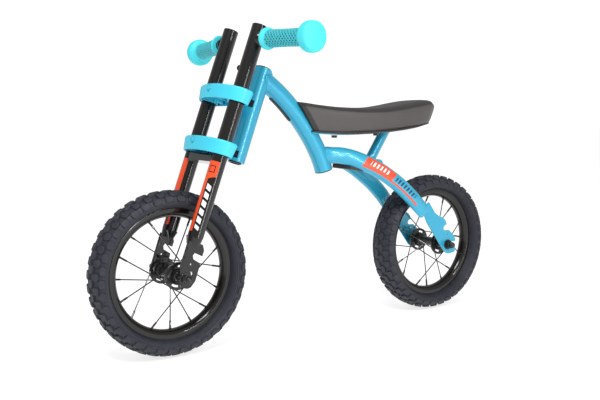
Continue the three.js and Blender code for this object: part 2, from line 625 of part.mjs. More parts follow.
function seatParts() {
  place("seat_pad", seatPad(), "saddle_skin");
  const under = seatUnderline();
  const strip = (top, bottom, from, to) => {
    const points = under.getPoints(12).filter((p) => p.x <= from && p.x >= to);
    const upper = points.map((p) => [p.x, p.y + top]);
    const lower = points.reverse().map((p) => [p.x, p.y + bottom]);
    const loop = [...upper, ...lower];
    return solid(sidePlate(outline(loop), -60, 60));
  };
  const trunk = solid(tube(mainCurve(), TUBE_R + 0.5, 0, 12, 8));
  const base = strip(1.9, -0.9, 20, -290).intersect(solid(slab(seatPlan(4), 380, 500, 10)));
  place("seat_base", largest(cut(base, trunk)), "black_plastic");
  const plate = strip(-1.2, -3.8, 20, -200).intersect(solid(box(V(-215, -22, 300), V(60, 22, 500))));
  place("seat_plate", largest(cut(plate, trunk)), "blue_paint");
  const screws = { front: -40, rear: -150 };
  for (const [label, x] of Object.entries(screws)) {
    const z = under.getPoints(60).find((p) => p.x <= x).y - 4.6;
    place(`seat_screw_${label}`, rod(V(x, 14, z - 5), V(x, 14, z), 6, 6), "bright_steel");
  }
}

wheel("front", FRONT_X);
wheel("rear", REAR_X);
fork();
frontParts();
rearParts();
seatParts();

export default bike;
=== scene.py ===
# %% [markdown]
# # A child's balance bike
# A steel balance bike in the style of a motocross bike: two thick fork legs held by two moulded crowns,
# one curved frame tube, two oval stays, a low saddle and two laced wheels with knobbly tyres.
# The frame that is loaded here already holds every part at its real size and place. This script only gives
# the parts their fine surfaces and their finishes, so it starts by reading the frame and keeping its box.

# %% Load the frame
import json
import math
from contextlib import contextmanager

import bmesh
import bpy
import numpy as np
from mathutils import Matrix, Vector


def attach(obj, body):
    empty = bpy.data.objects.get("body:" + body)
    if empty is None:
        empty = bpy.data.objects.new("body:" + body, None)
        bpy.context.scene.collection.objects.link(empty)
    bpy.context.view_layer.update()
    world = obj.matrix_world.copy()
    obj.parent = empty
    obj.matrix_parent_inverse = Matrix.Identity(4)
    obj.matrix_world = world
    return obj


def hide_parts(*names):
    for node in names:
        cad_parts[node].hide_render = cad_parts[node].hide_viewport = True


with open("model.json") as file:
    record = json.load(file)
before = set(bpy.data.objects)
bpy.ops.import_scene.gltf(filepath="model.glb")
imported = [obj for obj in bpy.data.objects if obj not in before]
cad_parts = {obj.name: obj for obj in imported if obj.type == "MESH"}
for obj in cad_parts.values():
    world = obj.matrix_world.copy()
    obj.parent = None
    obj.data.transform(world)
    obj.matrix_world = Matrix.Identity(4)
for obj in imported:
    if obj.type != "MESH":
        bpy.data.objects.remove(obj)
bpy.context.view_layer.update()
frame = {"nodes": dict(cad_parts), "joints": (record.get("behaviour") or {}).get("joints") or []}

# %% [markdown]
# ## Measures
# Lengths below are in millimetres and become metres when a mesh is made. The joints give the two wheel
# centres and the steering axis, so they are read from the frame. The fork leans, so its parts are easiest
# to describe in its own directions: AHEAD of the legs, to the LEFT, and UP along the legs.

# %% Directions and wheel centres
MM = 0.001
joints = {joint["name"]: joint for joint in frame["joints"]}
FRONT = np.array(joints["front_wheel_spin"]["pos_m"]) / MM
REAR = np.array(joints["rear_wheel_spin"]["pos_m"]) / MM
UP = np.array(joints["steering"]["axis"], float)
LEFT = np.array([0.0, 1.0, 0.0])
BACK_TO_FRONT = np.array([1.0, 0, 0])
AHEAD = np.cross(LEFT, UP)
STEER_BACK = float((np.array(joints["steering"]["pos_m"]) / MM - FRONT) @ AHEAD)
SIDES = {"left": 1, "right": -1}
WHEELS = {"front": FRONT, "rear": REAR}
print("steering axis is", round(-STEER_BACK, 1), "mm behind the legs")


def lean(ahead, left, up):
    """A place in the fork's leaning directions, counted from the front axle. Columns of numbers give rows
    of places."""
    return FRONT + ahead * AHEAD + left * LEFT + up * UP


# %% Driving sizes, in millimetres
LEG_Y = 53
LEG_R = 14.3
LEG_BORE = 12.3
LEG_FOOT, LEG_TOP = 74, 476
HEAD_R = 18.5
HEAD_BORE = 16.2
HEAD_BOTTOM, HEAD_TOP = 233, 420
CROWN_HEIGHT = 26
CROWNS = {"bottom": 227.5, "top": 327.5}
BAR_UP = 450
BAR_R = 11
BAR_SWEEP = 20 / 156
TUBE_R = 18.5
STAY_HALF_HEIGHT = 17
STAY_HALF_WIDTH = 12.6
SADDLE_TOP = 463

# %% [markdown]
# ## Surfaces from arrays
# Every new piece is a grid of points worked out with numpy: a line of points turned round an axis, or a
# section carried along a path. One function joins such grids into a mesh, merges the points that meet at
# a pole, turns the faces outwards and marks the edges that should stay crisp.

# %% Lines and curves
def unit(v):
    """The same direction with length one, for one vector or for rows of them."""
    v = np.asarray(v, float)
    return v / np.linalg.norm(v, axis=-1, keepdims=True)


def rounded(corners, steps=4, closed=False):
    """A line through corners (x, y, cut): each corner with a cut is replaced by a quadratic curve
    (1-t)^2 a + 2t(1-t) corner + t^2 b between points a and b at that distance from it."""
    points = np.array([corner[:2] for corner in corners], float)
    t = np.linspace(0, 1, steps + 1)[:, None]
    line = []
    for i, corner in enumerate(corners):
        here = points[i]
        if len(corner) < 3 or (not closed and i in (0, len(corners) - 1)):
            line.append(here[None])
            continue
        ends = []
        for other in (points[i - 1], points[(i + 1) % len(corners)]):
            away = other - here
            ends.append(here + unit(away) * min(corner[2], 0.48 * np.hypot(*away)))
        line.append((1 - t) ** 2 * ends[0] + 2 * t * (1 - t) * here + t**2 * ends[1])
    return np.concatenate(line)


def evenly(line, step, closed=False):
    """The same line with points about one step apart, by linear interpolation over its length."""
    line = np.vstack([line, line[:1]]) if closed else np.asarray(line, float)
    along = np.concatenate([[0], np.cumsum(np.linalg.norm(np.diff(line, axis=0), axis=1))])
    count = max(2, int(round(along[-1] / step)) + 1)
    at = np.linspace(0, along[-1], count)
    even = np.stack([np.interp(at, along, line[:, k]) for k in range(line.shape[1])], 1)
    return even[:-1] if closed else even


def bezier(a, b, c, d, count):
    """A cubic curve from a to d that leaves towards b and arrives from c."""
    t = np.linspace(0, 1, count)[:, None]
    a, b, c, d = (np.asarray(p, float) for p in (a, b, c, d))
    return (1 - t) ** 3 * a + 3 * t * (1 - t) ** 2 * b + 3 * t**2 * (1 - t) * c + t**3 * d


def through(points, count):
    """A smooth curve through points: between each two, a cubic whose slopes are those of its neighbours."""
    p = np.asarray(points, float)
    p = np.vstack([2 * p[0] - p[1], p, 2 * p[-1] - p[-2]])
    at = np.linspace(0, len(points) - 1 - 1e-9, count)
    i = at.astype(int)
    t = (at - i)[:, None]
    a, b, c, d = p[i], p[i + 1], p[i + 2], p[i + 3]
    return 0.5 * (2 * b + (c - a) * t + (2 * a - 5 * b + 4 * c - d) * t**2 + (3 * b - a - 3 * c + d) * t**3)


# %% Grids of points
def revolve(profile, origin, axis, zero, segments=64):
    """A (radius, height) line turned round an axis:
    origin + radius * (cos(a) * zero + sin(a) * side) + height * axis, for angles a all the way round."""
    angle = np.linspace(0, 2 * np.pi, segments, endpoint=False)
    side = np.cross(axis, zero)
    ring = np.cos(angle)[:, None] * zero + np.sin(angle)[:, None] * side
    radius, height = profile[:, 0], profile[:, 1]
    return origin + radius[:, None, None] * ring + height[:, None, None] * np.asarray(axis, float)


def sweep(path, section, across):
    """A closed section (u, v) carried along a path: path + u * normal + v * binormal, where the binormal is
    the given direction made square to the path. A section may also be one per path point."""
    tangent = unit(np.gradient(path, axis=0))
    across = np.broadcast_to(np.asarray(across, float), path.shape)
    binormal = unit(across - np.sum(across * tangent, 1, keepdims=True) * tangent)
    normal = np.cross(binormal, tangent)
    u, v = np.broadcast_to(section, (len(path),) + np.shape(section)[-2:]).transpose(2, 0, 1)
    return path[:, None] + u[..., None] * normal[:, None] + v[..., None] * binormal[:, None]


def circle(radius, sides):
    """Points (cos a, sin a) times the radius."""
    a = np.linspace(0, 2 * np.pi, sides, endpoint=False)
    return radius * np.stack([np.cos(a), np.sin(a)], 1)


def capped(grid):
    """A grid of rings whose first and last ring also close to their centres."""
    first, last = (np.broadcast_to(ring.mean(0), ring.shape) for ring in (grid[0], grid[-1]))
    return np.concatenate([first[None], grid, last[None]])


def bead(loop, radius, ripple=0.16, pitch=3.4):
    """A weld bead: a small circle carried round a closed loop, with its radius rippled once every pitch."""
    loop = evenly(loop, 0.8, closed=True)
    tangent = unit(np.roll(loop, -1, 0) - np.roll(loop, 1, 0))
    outward = unit(np.cross(tangent, unit(loop - loop.mean(0))))
    normal = np.cross(outward, tangent)
    ripples = round(len(loop) * 0.8 / pitch)
    size = radius * (1 + ripple * np.abs(np.sin(np.arange(len(loop)) * np.pi * ripples / len(loop))))
    u, v = circle(1, 8).T
    ring = u[:, None] * normal[:, None] + v[:, None] * outward[:, None]
    return loop[:, None] + size[:, None, None] * ring


# %% Grids into meshes
MERGE = 0.002  # points closer than this are one point
NODE_MERGE = 0.001


class Sheet:
    """A grid of points in millimetres that closes round its columns, and round its rows if it is a loop.
    across and along are the UV values of its columns and rows."""

    def __init__(self, points, loop=False, across=None, along=None):
        self.points, self.loop, self.across, self.along = points, loop, across, along

    def cells(self):
        """The number of rows and columns, and the row and the column of each cell."""
        rows, columns = self.points.shape[:2]
        return rows, columns, np.arange(rows if self.loop else rows - 1)[:, None], np.arange(columns)[None]

    def faces(self):
        rows, columns, i, j = self.cells()
        down, right = (i + 1) % rows, (j + 1) % columns
        corners = [i * columns + j, i * columns + right, down * columns + right, down * columns + j]
        return np.stack(corners, -1).reshape(-1, 4)

    def uvs(self):
        rows, columns, i, j = self.cells()
        across = np.arange(columns + 1.0) if self.across is None else self.across
        along = np.arange(rows + 1.0) if self.along is None else np.append(self.along, self.along[0])
        u = np.stack([across[j], across[j + 1], across[j + 1], across[j]], -1)
        v = np.stack([along[i], along[i], along[i + 1], along[i + 1]], -1)
        return np.stack(np.broadcast_arrays(u, v), -1).reshape(-1, 2)


def bare_mesh(name, points, faces):
    """A mesh of points in millimetres and faces, with nothing merged yet."""
    mesh = bpy.data.meshes.new(name)
    mesh.from_pydata((points.reshape(-1, 3) * MM).tolist(), [], faces.tolist())
    return mesh


@contextmanager
def edited(mesh):
    """Opens a mesh for changes and writes them back at the end of the with block."""
    shape = bmesh.new()
    shape.from_mesh(mesh)
    yield shape
    shape.to_mesh(mesh)
    shape.free()


def mesh_of(name, sheets):
    """One mesh from several sheets, with its poles merged and its faces turned outwards."""
    starts = np.cumsum([0] + [sheet.points.shape[0] * sheet.points.shape[1] for sheet in sheets])
    points = np.concatenate([sheet.points.reshape(-1, 3) for sheet in sheets])
    faces = np.concatenate([sheet.faces() + start for sheet, start in zip(sheets, starts)])
    mesh = bare_mesh(name, points, faces)
    uvs = np.concatenate([sheet.uvs() for sheet in sheets])
    mesh.uv_layers.new(name="UVMap").data.foreach_set("uv", uvs.ravel())
    with edited(mesh) as shape:
        bmesh.ops.remove_doubles(shape, verts=shape.verts, dist=MERGE * MM)
        bmesh.ops.recalc_face_normals(shape, faces=shape.faces)
    return mesh


# %% Meshes into finished pieces
SLOTS = {"blue_paint_decal": "blue_paint", "black_paint_decal": "black_paint", "crown_groove_shade": "crown_plastic",
         "rim_paint": "rim_metal"}


def placed(name, data):
    """A new object in the scene."""
    made = bpy.data.objects.new(name, data)
    bpy.context.scene.collection.objects.link(made)
    return made


def finish_piece(mesh, finish, body, stands_for=(), crisp=35, slot=None):
    """A mesh as a finished piece: smooth but for edges sharper than crisp degrees, with its material,
    riding on its body and standing for its frame parts. A slot is worked out from SLOTS or the finish, but
    it is not given to the piece."""
    mesh.shade_smooth()
    mesh.set_sharp_from_angle(angle=math.radians(crisp))
    mesh.materials.clear()
    mesh.materials.append(finish)
    piece = placed(mesh.name, mesh)
    own_name = finish.name.split(".")[0]  # without the .001 that sets it apart from the frame's material
    slot = slot or SLOTS.get(own_name, own_name)
    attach(piece, body)
    if stands_for:
        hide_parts(*stands_for)
    return piece


def piece_of(name, sheets, finish, body, *stands_for):
    """A finished piece straight from its sheets."""
    return finish_piece(mesh_of(name, sheets), finish, body, stands_for)


# %% Solids that are joined and cut, and softened edges
def weighted(piece):
    """Lets large flat faces keep their own shading next to rounded edges."""
    piece.modifiers.new("flat faces", "WEIGHTED_NORMAL").keep_sharp = True
    return piece


def block(low, high):
    """A closed box between two corners of the fork's leaning directions, with its edges a little rounded."""
    (a0, l0, u0), (a1, l1, u1) = low, high
    outline = rounded([(a0, l0, 1), (a1, l0, 1), (a1, l1, 1), (a0, l1, 1)], 2, closed=True)
    rings = [(0.6, u0), (0, u0 + 0.6), (0, u1 - 0.6), (0.6, u1)]
    centre = outline.mean(0)
    points = []
    for inset, up in rings:
        ring = outline + unit(centre - outline) * inset
        points.append(lean(ring[:, :1], ring[:, 1:], up))
    return Sheet(capped(np.array(points)))


def combined(name, base, joined=(), removed=()):
    """The mesh of one closed solid with others joined to it and others cut away."""
    body = placed(name + "_blank", mesh_of(name + "_blank", [base]))
    tools = []
    for operation, sheet in [("UNION", s) for s in joined] + [("DIFFERENCE", s) for s in removed]:
        tool = placed(name + "_tool", mesh_of(name + "_tool", [sheet]))
        tools.append(tool)
        step = body.modifiers.new(operation.lower(), "BOOLEAN")
        step.operation, step.object, step.solver = operation, tool, "MANIFOLD"
    bpy.context.view_layer.update()
    mesh = bpy.data.meshes.new_from_object(body.evaluated_get(bpy.context.evaluated_depsgraph_get()))
    for temporary in [*tools, body]:
        bpy.data.objects.remove(temporary)
    mesh.name = name
    return mesh


def round_edges(piece, width):
    """Rounds the sharp edges of a piece with a bevel."""
    edges = piece.modifiers.new("rounded edges", "BEVEL")
    edges.width, edges.segments, edges.limit_method = width * MM, 2, "ANGLE"
    return edges


def softened(node, width, finish, body, slot=None):
    """A copy of a frame part with its loose faces merged and its edges rounded by a bevel."""
    mesh = frame["nodes"][node].data.copy()
    mesh.name = node + "_softened"
    with edited(mesh) as shape:
        bmesh.ops.remove_doubles(shape, verts=shape.verts, dist=NODE_MERGE * MM)
        bmesh.ops.dissolve_limit(shape, angle_limit=math.radians(1), verts=shape.verts, edges=shape.edges)
    piece = finish_piece(mesh, finish, body, [node], slot=slot)
    edges = round_edges(piece, width)
    edges.angle_limit, edges.use_clamp_overlap = math.radians(28), True
    return weighted(piece)


# %% [markdown]
# ## Finishes
# A finish is a small network of nodes. Writing it node by node hides the idea, so one class turns Python
# sums into Math nodes, and one method makes any other node. What changes over a surface goes only into
# colour, roughness and bump; what is the same all over is set on the shader itself.

# %% Shader sums
class Wire:
    """An output socket that can be used in sums: each sum adds a Math node."""

    def __init__(self, finish, socket):
        self.finish, self.socket = finish, socket

    def math(self, operation, *others):
        return self.finish.node("ShaderNodeMath", {"operation": operation},
                                dict(enumerate([self, *others])))

    def __add__(self, other): return self.math("ADD", other)
    def __radd__(self, other): return self.math("ADD", other)
    def __sub__(self, other): return self.math("SUBTRACT", other)
    def __rsub__(self, other): return self.math("MULTIPLY_ADD", -1.0, other)
    def __mul__(self, other): return self.math("MULTIPLY", other)
    def __rmul__(self, other): return self.math("MULTIPLY", other)
    def __truediv__(self, other): return self.math("DIVIDE", other)

    def ramp(self, low, high):
        """0 below low, 1 above high and a smooth step between; low may be the larger."""
        return self.finish.node("ShaderNodeMapRange", {"interpolation_type": "SMOOTHSTEP"},
                                {"Value": self, "From Min": low, "From Max": high})

    def between(self, low, high, soft=0.12):
        """1 inside a band and 0 outside it."""
        return self.ramp(low - soft, low + soft) * (1 - self.ramp(high - soft, high + soft))


# %% Finishes
class Finish:
    """A material whose network is built by calls."""

    def __init__(self, name, holder=None):
        self.material = holder or bpy.data.materials.new(name)
        self.material.use_nodes = True
        self.tree = self.material.node_tree
        self.tree.nodes.clear()

    def node(self, kind, settings=None, values=None, output=0):
        """Any node: its settings are set first, then its inputs get numbers, colours or wires."""
        made = self.tree.nodes.new(kind)
        for key, value in (settings or {}).items():
            setattr(made, key, value)
        for key, value in (values or {}).items():
            if isinstance(value, Wire):
                self.tree.links.new(value.socket, made.inputs[key])
            else:
                made.inputs[key].default_value = value
        return Wire(self, made.outputs[output])

    def split(self, kind, output):
        """The three numbers of a node's vector, as wires."""
        made = self.node("ShaderNodeSeparateXYZ", values={0: self.node(kind, output=output)})
        return [Wire(self, made.socket.node.outputs[k]) for k in range(3)]

    def uv(self):
        """The two UV values of the piece."""
        return self.split("ShaderNodeTexCoord", "UV")[:2]

    def toned(self, colour, tone):
        """A colour made lighter or darker by a factor."""
        return self.node("ShaderNodeVectorMath", {"operation": "SCALE"}, {0: colour, "Scale": tone})

    def noise(self, size, detail=2.0):
        """Cloudy values round 0.5 whose clouds are about size millimetres across."""
        vector = self.node("ShaderNodeTexCoord", output="Object")
        return self.node("ShaderNodeTexNoise", values={
            "Vector": vector, "Scale": 1 / (size * MM), "Detail": detail, "Roughness": 0.55})

    def mix(self, share, first, second):
        """The first colour where the share is 0 and the second where it is 1."""
        node = self.tree.nodes.new("ShaderNodeMix")
        node.data_type = "RGBA"
        for socket, value in ((node.inputs[0], share), (node.inputs[6], first), (node.inputs[7], second)):
            if isinstance(value, Wire):
                self.tree.links.new(value.socket, socket)
            else:
                socket.default_value = value if isinstance(value, (int, float)) else (*value, 1)
        return Wire(self, node.outputs[2])

    def bump(self, height, distance, strength=1.0):
        """A bump whose full height is distance, in millimetres."""
        return self.node("ShaderNodeBump", values={
            "Height": height, "Distance": distance * MM, "Strength": strength})

    def done(self, colour, roughness, bump=None, **fixed):
        """Joins everything to the surface shader; fixed values are the same all over."""
        values = {"Base Color": colour if isinstance(colour, Wire) else (*colour, 1), "Roughness": roughness}
        if bump:
            values["Normal"] = bump
        values.update({key.replace("_", " "): value for key, value in fixed.items()})
        surface = self.node("ShaderNodeBsdfPrincipled", values=values)
        self.node_output(surface)
        return self.material

    def node_output(self, surface, kind="ShaderNodeOutputMaterial"):
        output = self.tree.nodes.new(kind)
        self.tree.links.new(surface.socket, output.inputs["Surface"])


# %% [markdown]
# ### Paint and plastic
# The frame's paint is a light blue with fine metal flakes under a clear coat, so its colour shifts a
# little from place to place. The crowns are moulded in a brighter blue and have no coat. Real gloss paint
# is never quite flat: a faint, wide ripple breaks up the reflections.

# %% Painted tubes
PAINT_BLUE = (0.020, 0.355, 0.540)
ORANGE = (0.78, 0.075, 0.018)
PALE = (0.80, 0.82, 0.84)
NAVY = (0.006, 0.035, 0.085)
CHARCOAL = (0.0060, 0.0052, 0.0048)


def painted(finish, colour, coat, metallic, roughness=0.3, shine=0.5):
    """A painted tube: flakes vary the colour by a few parts in a hundred, and the coat has a faint ripple."""
    flakes = finish.noise(0.35, 1.0)
    clouds = finish.noise(45)
    tone = 0.94 + 0.06 * flakes + 0.05 * clouds
    shaded = finish.toned(colour, tone)
    ripple = finish.bump(finish.noise(9, 1.0), 0.03, 0.15)
    return finish.done(shaded, roughness + 0.06 * clouds, ripple, Metallic=metallic,
                       Coat_Weight=coat, Coat_Roughness=0.05, Coat_IOR=1.42, Specular_IOR_Level=shine)


# %% Decals
def stay_decal(finish):
    """A slanted orange panel with pale bars that runs out into a thin stripe, drawn in the stay's own
    length and girth so that it follows the tube."""
    girth, length = finish.uv()
    slant = length + 0.35 * girth
    panel = slant.between(88, 166) * girth.between(-13, 10)
    stripe = slant.between(164, 256) * girth.between(6.0, 10)
    hatch = (slant * (2 * math.pi / 9)).math("SINE").ramp(-0.05, 0.05)
    bars = slant.between(102, 153) * girth.between(-7, 2) * hatch
    dark = slant.between(172, 236) * girth.between(-6, 3.5) * hatch
    colour = finish.mix(panel.math("MAXIMUM", stripe), PAINT_BLUE, ORANGE)
    return finish.mix(dark, finish.mix(bars, colour, PALE), NAVY)


def leg_decal(finish):
    """An orange header with a dark bar that narrows to a strip, beside a row of plain pale bars."""
    around, up = finish.uv()
    slant = up - 0.5 * around
    header = up.between(186, 214) * around.between(-13.5, 17)
    wedge = (up + 0.5 * around).between(181, 192) * around.between(-13.5, 17)
    strip = up.between(84, 190) * around.between(0.5, 17)
    hatch = (slant * (2 * math.pi / 15)).math("SINE").ramp(-0.55, -0.45)
    bars = slant.between(92, 176) * around.between(-10.5, -2) * hatch
    mark = up.between(193, 206) * around.between(-8, 4)
    inner = up.between(194.6, 204.4) * around.between(-6.4, 2.4)
    colour = finish.mix(header.math("MAXIMUM", strip).math("MAXIMUM", wedge), CHARCOAL, ORANGE)
    colour = finish.mix(mark - inner, colour, CHARCOAL)
    return finish.mix(bars, colour, PALE)


# %% Blue and black paint
blue_paint = painted(Finish("blue_paint"), PAINT_BLUE, 0.7, 0.25)
finish = Finish("blue_paint_decal")
blue_decal = painted(finish, stay_decal(finish), 0.7, 0.15)
black_paint = painted(Finish("black_paint"), CHARCOAL, 1.0, 0.0, 0.22, 0.12)
finish = Finish("black_paint_decal")
black_decal = painted(finish, leg_decal(finish), 1.0, 0.0, 0.22, 0.12)


# %% Moulded plastic and rubber
def moulded(name, colour, roughness, grain, depth, **fixed):
    """A moulded surface: fine pits whose size is the grain, in millimetres, and a slight change of tone."""
    finish = Finish(name)
    clouds = finish.noise(30)
    shaded = finish.toned(colour, 0.95 + 0.10 * clouds)
    pits = finish.bump(finish.noise(grain), depth, 0.5)
    return finish.done(shaded, roughness + 0.08 * clouds, pits, **fixed)


CROWN_BLUE = (0.046, 0.57, 0.76)
crown_plastic = moulded("crown_plastic", CROWN_BLUE, 0.38, 0.5, 0.02, Coat_Weight=0.1)
black_plastic = moulded("black_plastic", (0.012, 0.012, 0.013), 0.48, 0.45, 0.04)
black_metal = moulded("black_metal", (0.010, 0.010, 0.010), 0.30, 1.5, 0.01,
                      Coat_Weight=0.5, Specular_IOR_Level=0.25)
rim_paint = moulded("rim_paint", (0.0065, 0.0055, 0.0048), 0.22, 5.0, 0.02,
                    Coat_Weight=0.6, Coat_Roughness=0.06, Specular_IOR_Level=0.15)


# %% The painted groove shade on the crown's round covers
finish = Finish("crown_groove_shade")
radius = finish.uv()[1]
# a thin dark circle on the cover: painted shade that stands for a narrow groove
painted_groove_shade = finish.mix(radius.between(4.9, 5.7, 0.1), CROWN_BLUE, (0.008, 0.09, 0.13))
crown_groove_shade = finish.done(painted_groove_shade, 0.38 + 0.08 * finish.noise(30))


# %% Bright steel
finish = Finish("bright_steel")
drawn = finish.noise(1.2)
bright_steel = finish.done((0.55, 0.55, 0.56), 0.28 + 0.15 * drawn, finish.bump(drawn, 0.01), Metallic=1.0)

# %% [markdown]
# ### Rubber
# Tyre rubber is matt and slightly blue. Dust lies on it in patches, so noise lightens it a little.
# The grips are soft light blue rubber; their small holes are real hollows. The dark inside of each one is
# painted shade, and a lighter painted shade darkens the body between the holes; both come from an attribute
# that the grip's own shape stores.

# %% Tyre rubber and grip rubber
finish = Finish("tyre_rubber")
dust = finish.noise(18, 4.0)
tread_colour = finish.mix(dust.ramp(0.42, 0.75), (0.0125, 0.0140, 0.0235), (0.0215, 0.0235, 0.034))
tyre_rubber = finish.done(tread_colour, 0.5 + 0.16 * dust, finish.bump(finish.noise(0.7), 0.05, 0.5))

finish = Finish("grip_rubber")
painted_hole_shade = finish.node("ShaderNodeAttribute", {"attribute_name": "painted_hole_shade"}, output="Fac")
# painted shade: the dark colour is full in the holes and 0.30 over the grip body
grip_colour = finish.mix(painted_hole_shade, (0.055, 0.66, 0.74), (0.002, 0.050, 0.075))
grip_grain = finish.bump(finish.noise(0.4), 0.02, 0.5)
grip_rubber = finish.done(grip_colour, 0.46 + 0.1 * finish.noise(12), grip_grain)

# %% [markdown]
# ### Saddle skin
# The saddle is a foam pad under a synthetic skin. Its grain is a field of small cells. The nose face that
# hugs the frame tube is darker, split from the rest by a slanted line. The top that is sat on is darker than
# the sides as painted shade: whatever faces up gets the dark colour.

# %% Saddle skin
NOSE_TOP_X, NOSE_FOOT_X, NOSE_FOOT_Z = 44.0, 3.0, 405
finish = Finish("saddle_skin")
x, _, z = (axis / MM for axis in finish.split("ShaderNodeTexCoord", "Object"))
nose_slope = (NOSE_TOP_X - NOSE_FOOT_X) / (SADDLE_TOP - NOSE_FOOT_Z)
nose = (x - (NOSE_FOOT_X + nose_slope * (z - NOSE_FOOT_Z))).ramp(-2.5, 1.0)
cells = finish.node("ShaderNodeTexVoronoi", {"feature": "DISTANCE_TO_EDGE"}, {
    "Vector": finish.node("ShaderNodeTexCoord", output="Object"), "Scale": 1 / (1.1 * MM)})
wear = finish.noise(35)
# painted shade: faces that point up get the dark colour
painted_top_shade = finish.split("ShaderNodeNewGeometry", "Normal")[2].ramp(0.2, 0.45)
side_colour = finish.mix(wear, (0.054, 0.048, 0.046), (0.066, 0.059, 0.057))
# the dark colour is painted shade on the top and a plain darker colour on the nose
skin_colour = finish.mix(nose.math("MAXIMUM", 0.72 * painted_top_shade), side_colour, (0.010, 0.009, 0.009))
saddle_skin = finish.done(skin_colour, 0.40 + 0.12 * wear, finish.bump(cells.ramp(0.0, 0.25), 0.09, 0.45))


# %% [markdown]
# ## Camera
# The camera stands ahead of the bike on its left, a little above the saddle, and looks at the middle of the
# bike. A camera and a light both look along their own -Z, so one function stands and turns either.

# %% Camera
AIM = np.array([35.0, 0.0, 268.0])
CAMERA_AZIMUTH, CAMERA_HEIGHT, CAMERA_DISTANCE = 55.5, 6.2, 1560.0
a, e = math.radians(CAMERA_AZIMUTH), math.radians(CAMERA_HEIGHT)
toward = np.array([math.cos(a) * math.cos(e), math.sin(a) * math.cos(e), math.sin(e)])


def stand(holder, place, way):
    """Puts a camera or a light at a place in metres and turns it to look along a direction."""
    holder.location = place
    holder.rotation_mode = "QUATERNION"
    holder.rotation_quaternion = Vector(way).to_track_quat("-Z", "Y")


camera = placed("camera", bpy.data.cameras.new("camera"))
stand(camera, (AIM + CAMERA_DISTANCE * toward) * MM, -toward)
camera.data.lens = 46.5
camera.data.clip_end = 30
bpy.context.scene.camera = camera

# %% [markdown]
# ## Wheels
# A wheel here is a tyre, a rim, a hub with two drilled flanges, and sixteen spokes that cross. The tyre's
# side is one line of points: from the crown of the tread over the shoulder and down into the rim. Fine
# moulded rings run round the side, and they are added to that line before it is turned.

# %% Tyre
KNOB_COUNT = 38
KNOB_HEIGHT = 3.7
TREAD_R = 148.2
SIDE_RING_PITCH, SIDE_RING_HEIGHT = 3.2, 0.85


def tyre_line():
    """The outside of half a tyre as (radius, y) points from the crown to the bead."""
    corners = [(TREAD_R, 0), (147.4, 13, 6), (142, 25.5, 7), (134.5, 29.8, 6), (126.5, 26.5, 6),
               (121.6, 16, 4), (120.6, 12.4, 1), (113.6, 11)]
    return evenly(rounded(corners, 6), 0.8)


def line_frame(line):
    """Length along the line, and the outward normal at each of its points."""
    tangent = unit(np.gradient(line, axis=0))
    length = np.concatenate([[0], np.cumsum(np.linalg.norm(np.diff(line, axis=0), axis=1))])
    return length, np.stack([tangent[:, 1], -tangent[:, 0]], 1)


def carcass(centre):
    """The tyre without its knobs: the outer line with its moulded rings, and a plain inside."""
    outer = tyre_line()
    length, normal = line_frame(outer)
    side = np.clip(1 - np.abs(outer[:, 0] - 129) / 8, 0, 1) ** 0.4 * (outer[:, 1] > 14)
    rings = 0.5 + 0.5 * np.cos(2 * np.pi * length / SIDE_RING_PITCH)
    outer = outer + normal * (SIDE_RING_HEIGHT * side * rings)[:, None]
    inner = [(113.6, 7.6), (122.5, 8.5, 2), (128, 22, 4), (137, 24, 5), (143.6, 10, 4), (143.8, 0)]
    inner = evenly(rounded(inner), 3)
    flip = np.array([1, -1])
    loop = np.concatenate([outer[::-1][:-1] * flip, outer, inner, inner[::-1][1:] * flip])
    return Sheet(revolve(loop, centre, LEFT, BACK_TO_FRONT, 152), loop=True)


# %% Tread blocks
def knobs(centre):
    """Tread blocks. A block is an eight-sided outline in (along, across) the tread, raised in steps and
    drawn in towards its top. Across is a length on the tyre's line, so shoulder blocks wrap round it."""
    line = tyre_line()
    length, normal = line_frame(line)
    corner = np.array([(1, .6), (.7, 1), (-.7, 1), (-1, .6), (-1, -.6), (-.7, -1), (.7, -1), (1, -.6)])
    steps = [(1.16, -1.2), (1.10, 0.3), (0.98, KNOB_HEIGHT - 0.6), (0.86, KNOB_HEIGHT)]
    kinds = [(6.4, 15.5, 10, 0.0, 0), (19.2, 13.5, 11, 0.5, 0), (31.0, 16, 8.5, 0.0, -0.4)]
    sheets = []
    for across, long, wide, phase, raised in kinds:
        for side in (1, -1):
            stagger = phase + (0.5 if side < 0 and across < 10 else 0)
            for k in range(KNOB_COUNT):
                middle = (k + stagger) * 2 * np.pi / KNOB_COUNT
                rings = []
                for scale, height in steps:
                    u, v = (corner * scale * (long / 2, wide / 2)).T
                    r, y = (np.interp(across + v, length, line[:, k])
                            + np.interp(across + v, length, normal[:, k]) * (height + raised) for k in (0, 1))
                    turn = middle + u / TREAD_R
                    rings.append(np.stack([r * np.cos(turn), side * y, r * np.sin(turn)], 1) + centre)
                sheets.append(Sheet(capped(np.array(rings))))
    return sheets


for name, centre in WHEELS.items():
    tyre = piece_of(f"{name}_tyre_tread", [carcass(centre)] + knobs(centre), tyre_rubber, f"{name}_wheel",
                    f"{name}_tyre")
    print(tyre.name, len(tyre.data.polygons), "faces")


# %% Rim
def rim_line():
    """Half a rim: the curved inside bed, the side wall and its rolled edge, and the well under the tyre."""
    return rounded([(103.4, 0), (103.8, 4, 3), (106.6, 9, 3), (111.2, 12.9, 1.2), (119.8, 13.2, 0.7),
                    (119.8, 11.7, 0.5), (112.2, 11.4, 1), (108.4, 8, 2), (106, 3, 2), (105.6, 0)], 4)


for name, centre in WHEELS.items():
    half = rim_line()
    loop = np.concatenate([half, half[::-1][1:-1] * (1, -1)])
    rim = Sheet(revolve(loop, centre, LEFT, BACK_TO_FRONT, 160), loop=True)
    piece_of(f"{name}_rim_band", [rim], rim_paint, f"{name}_wheel", f"{name}_rim")

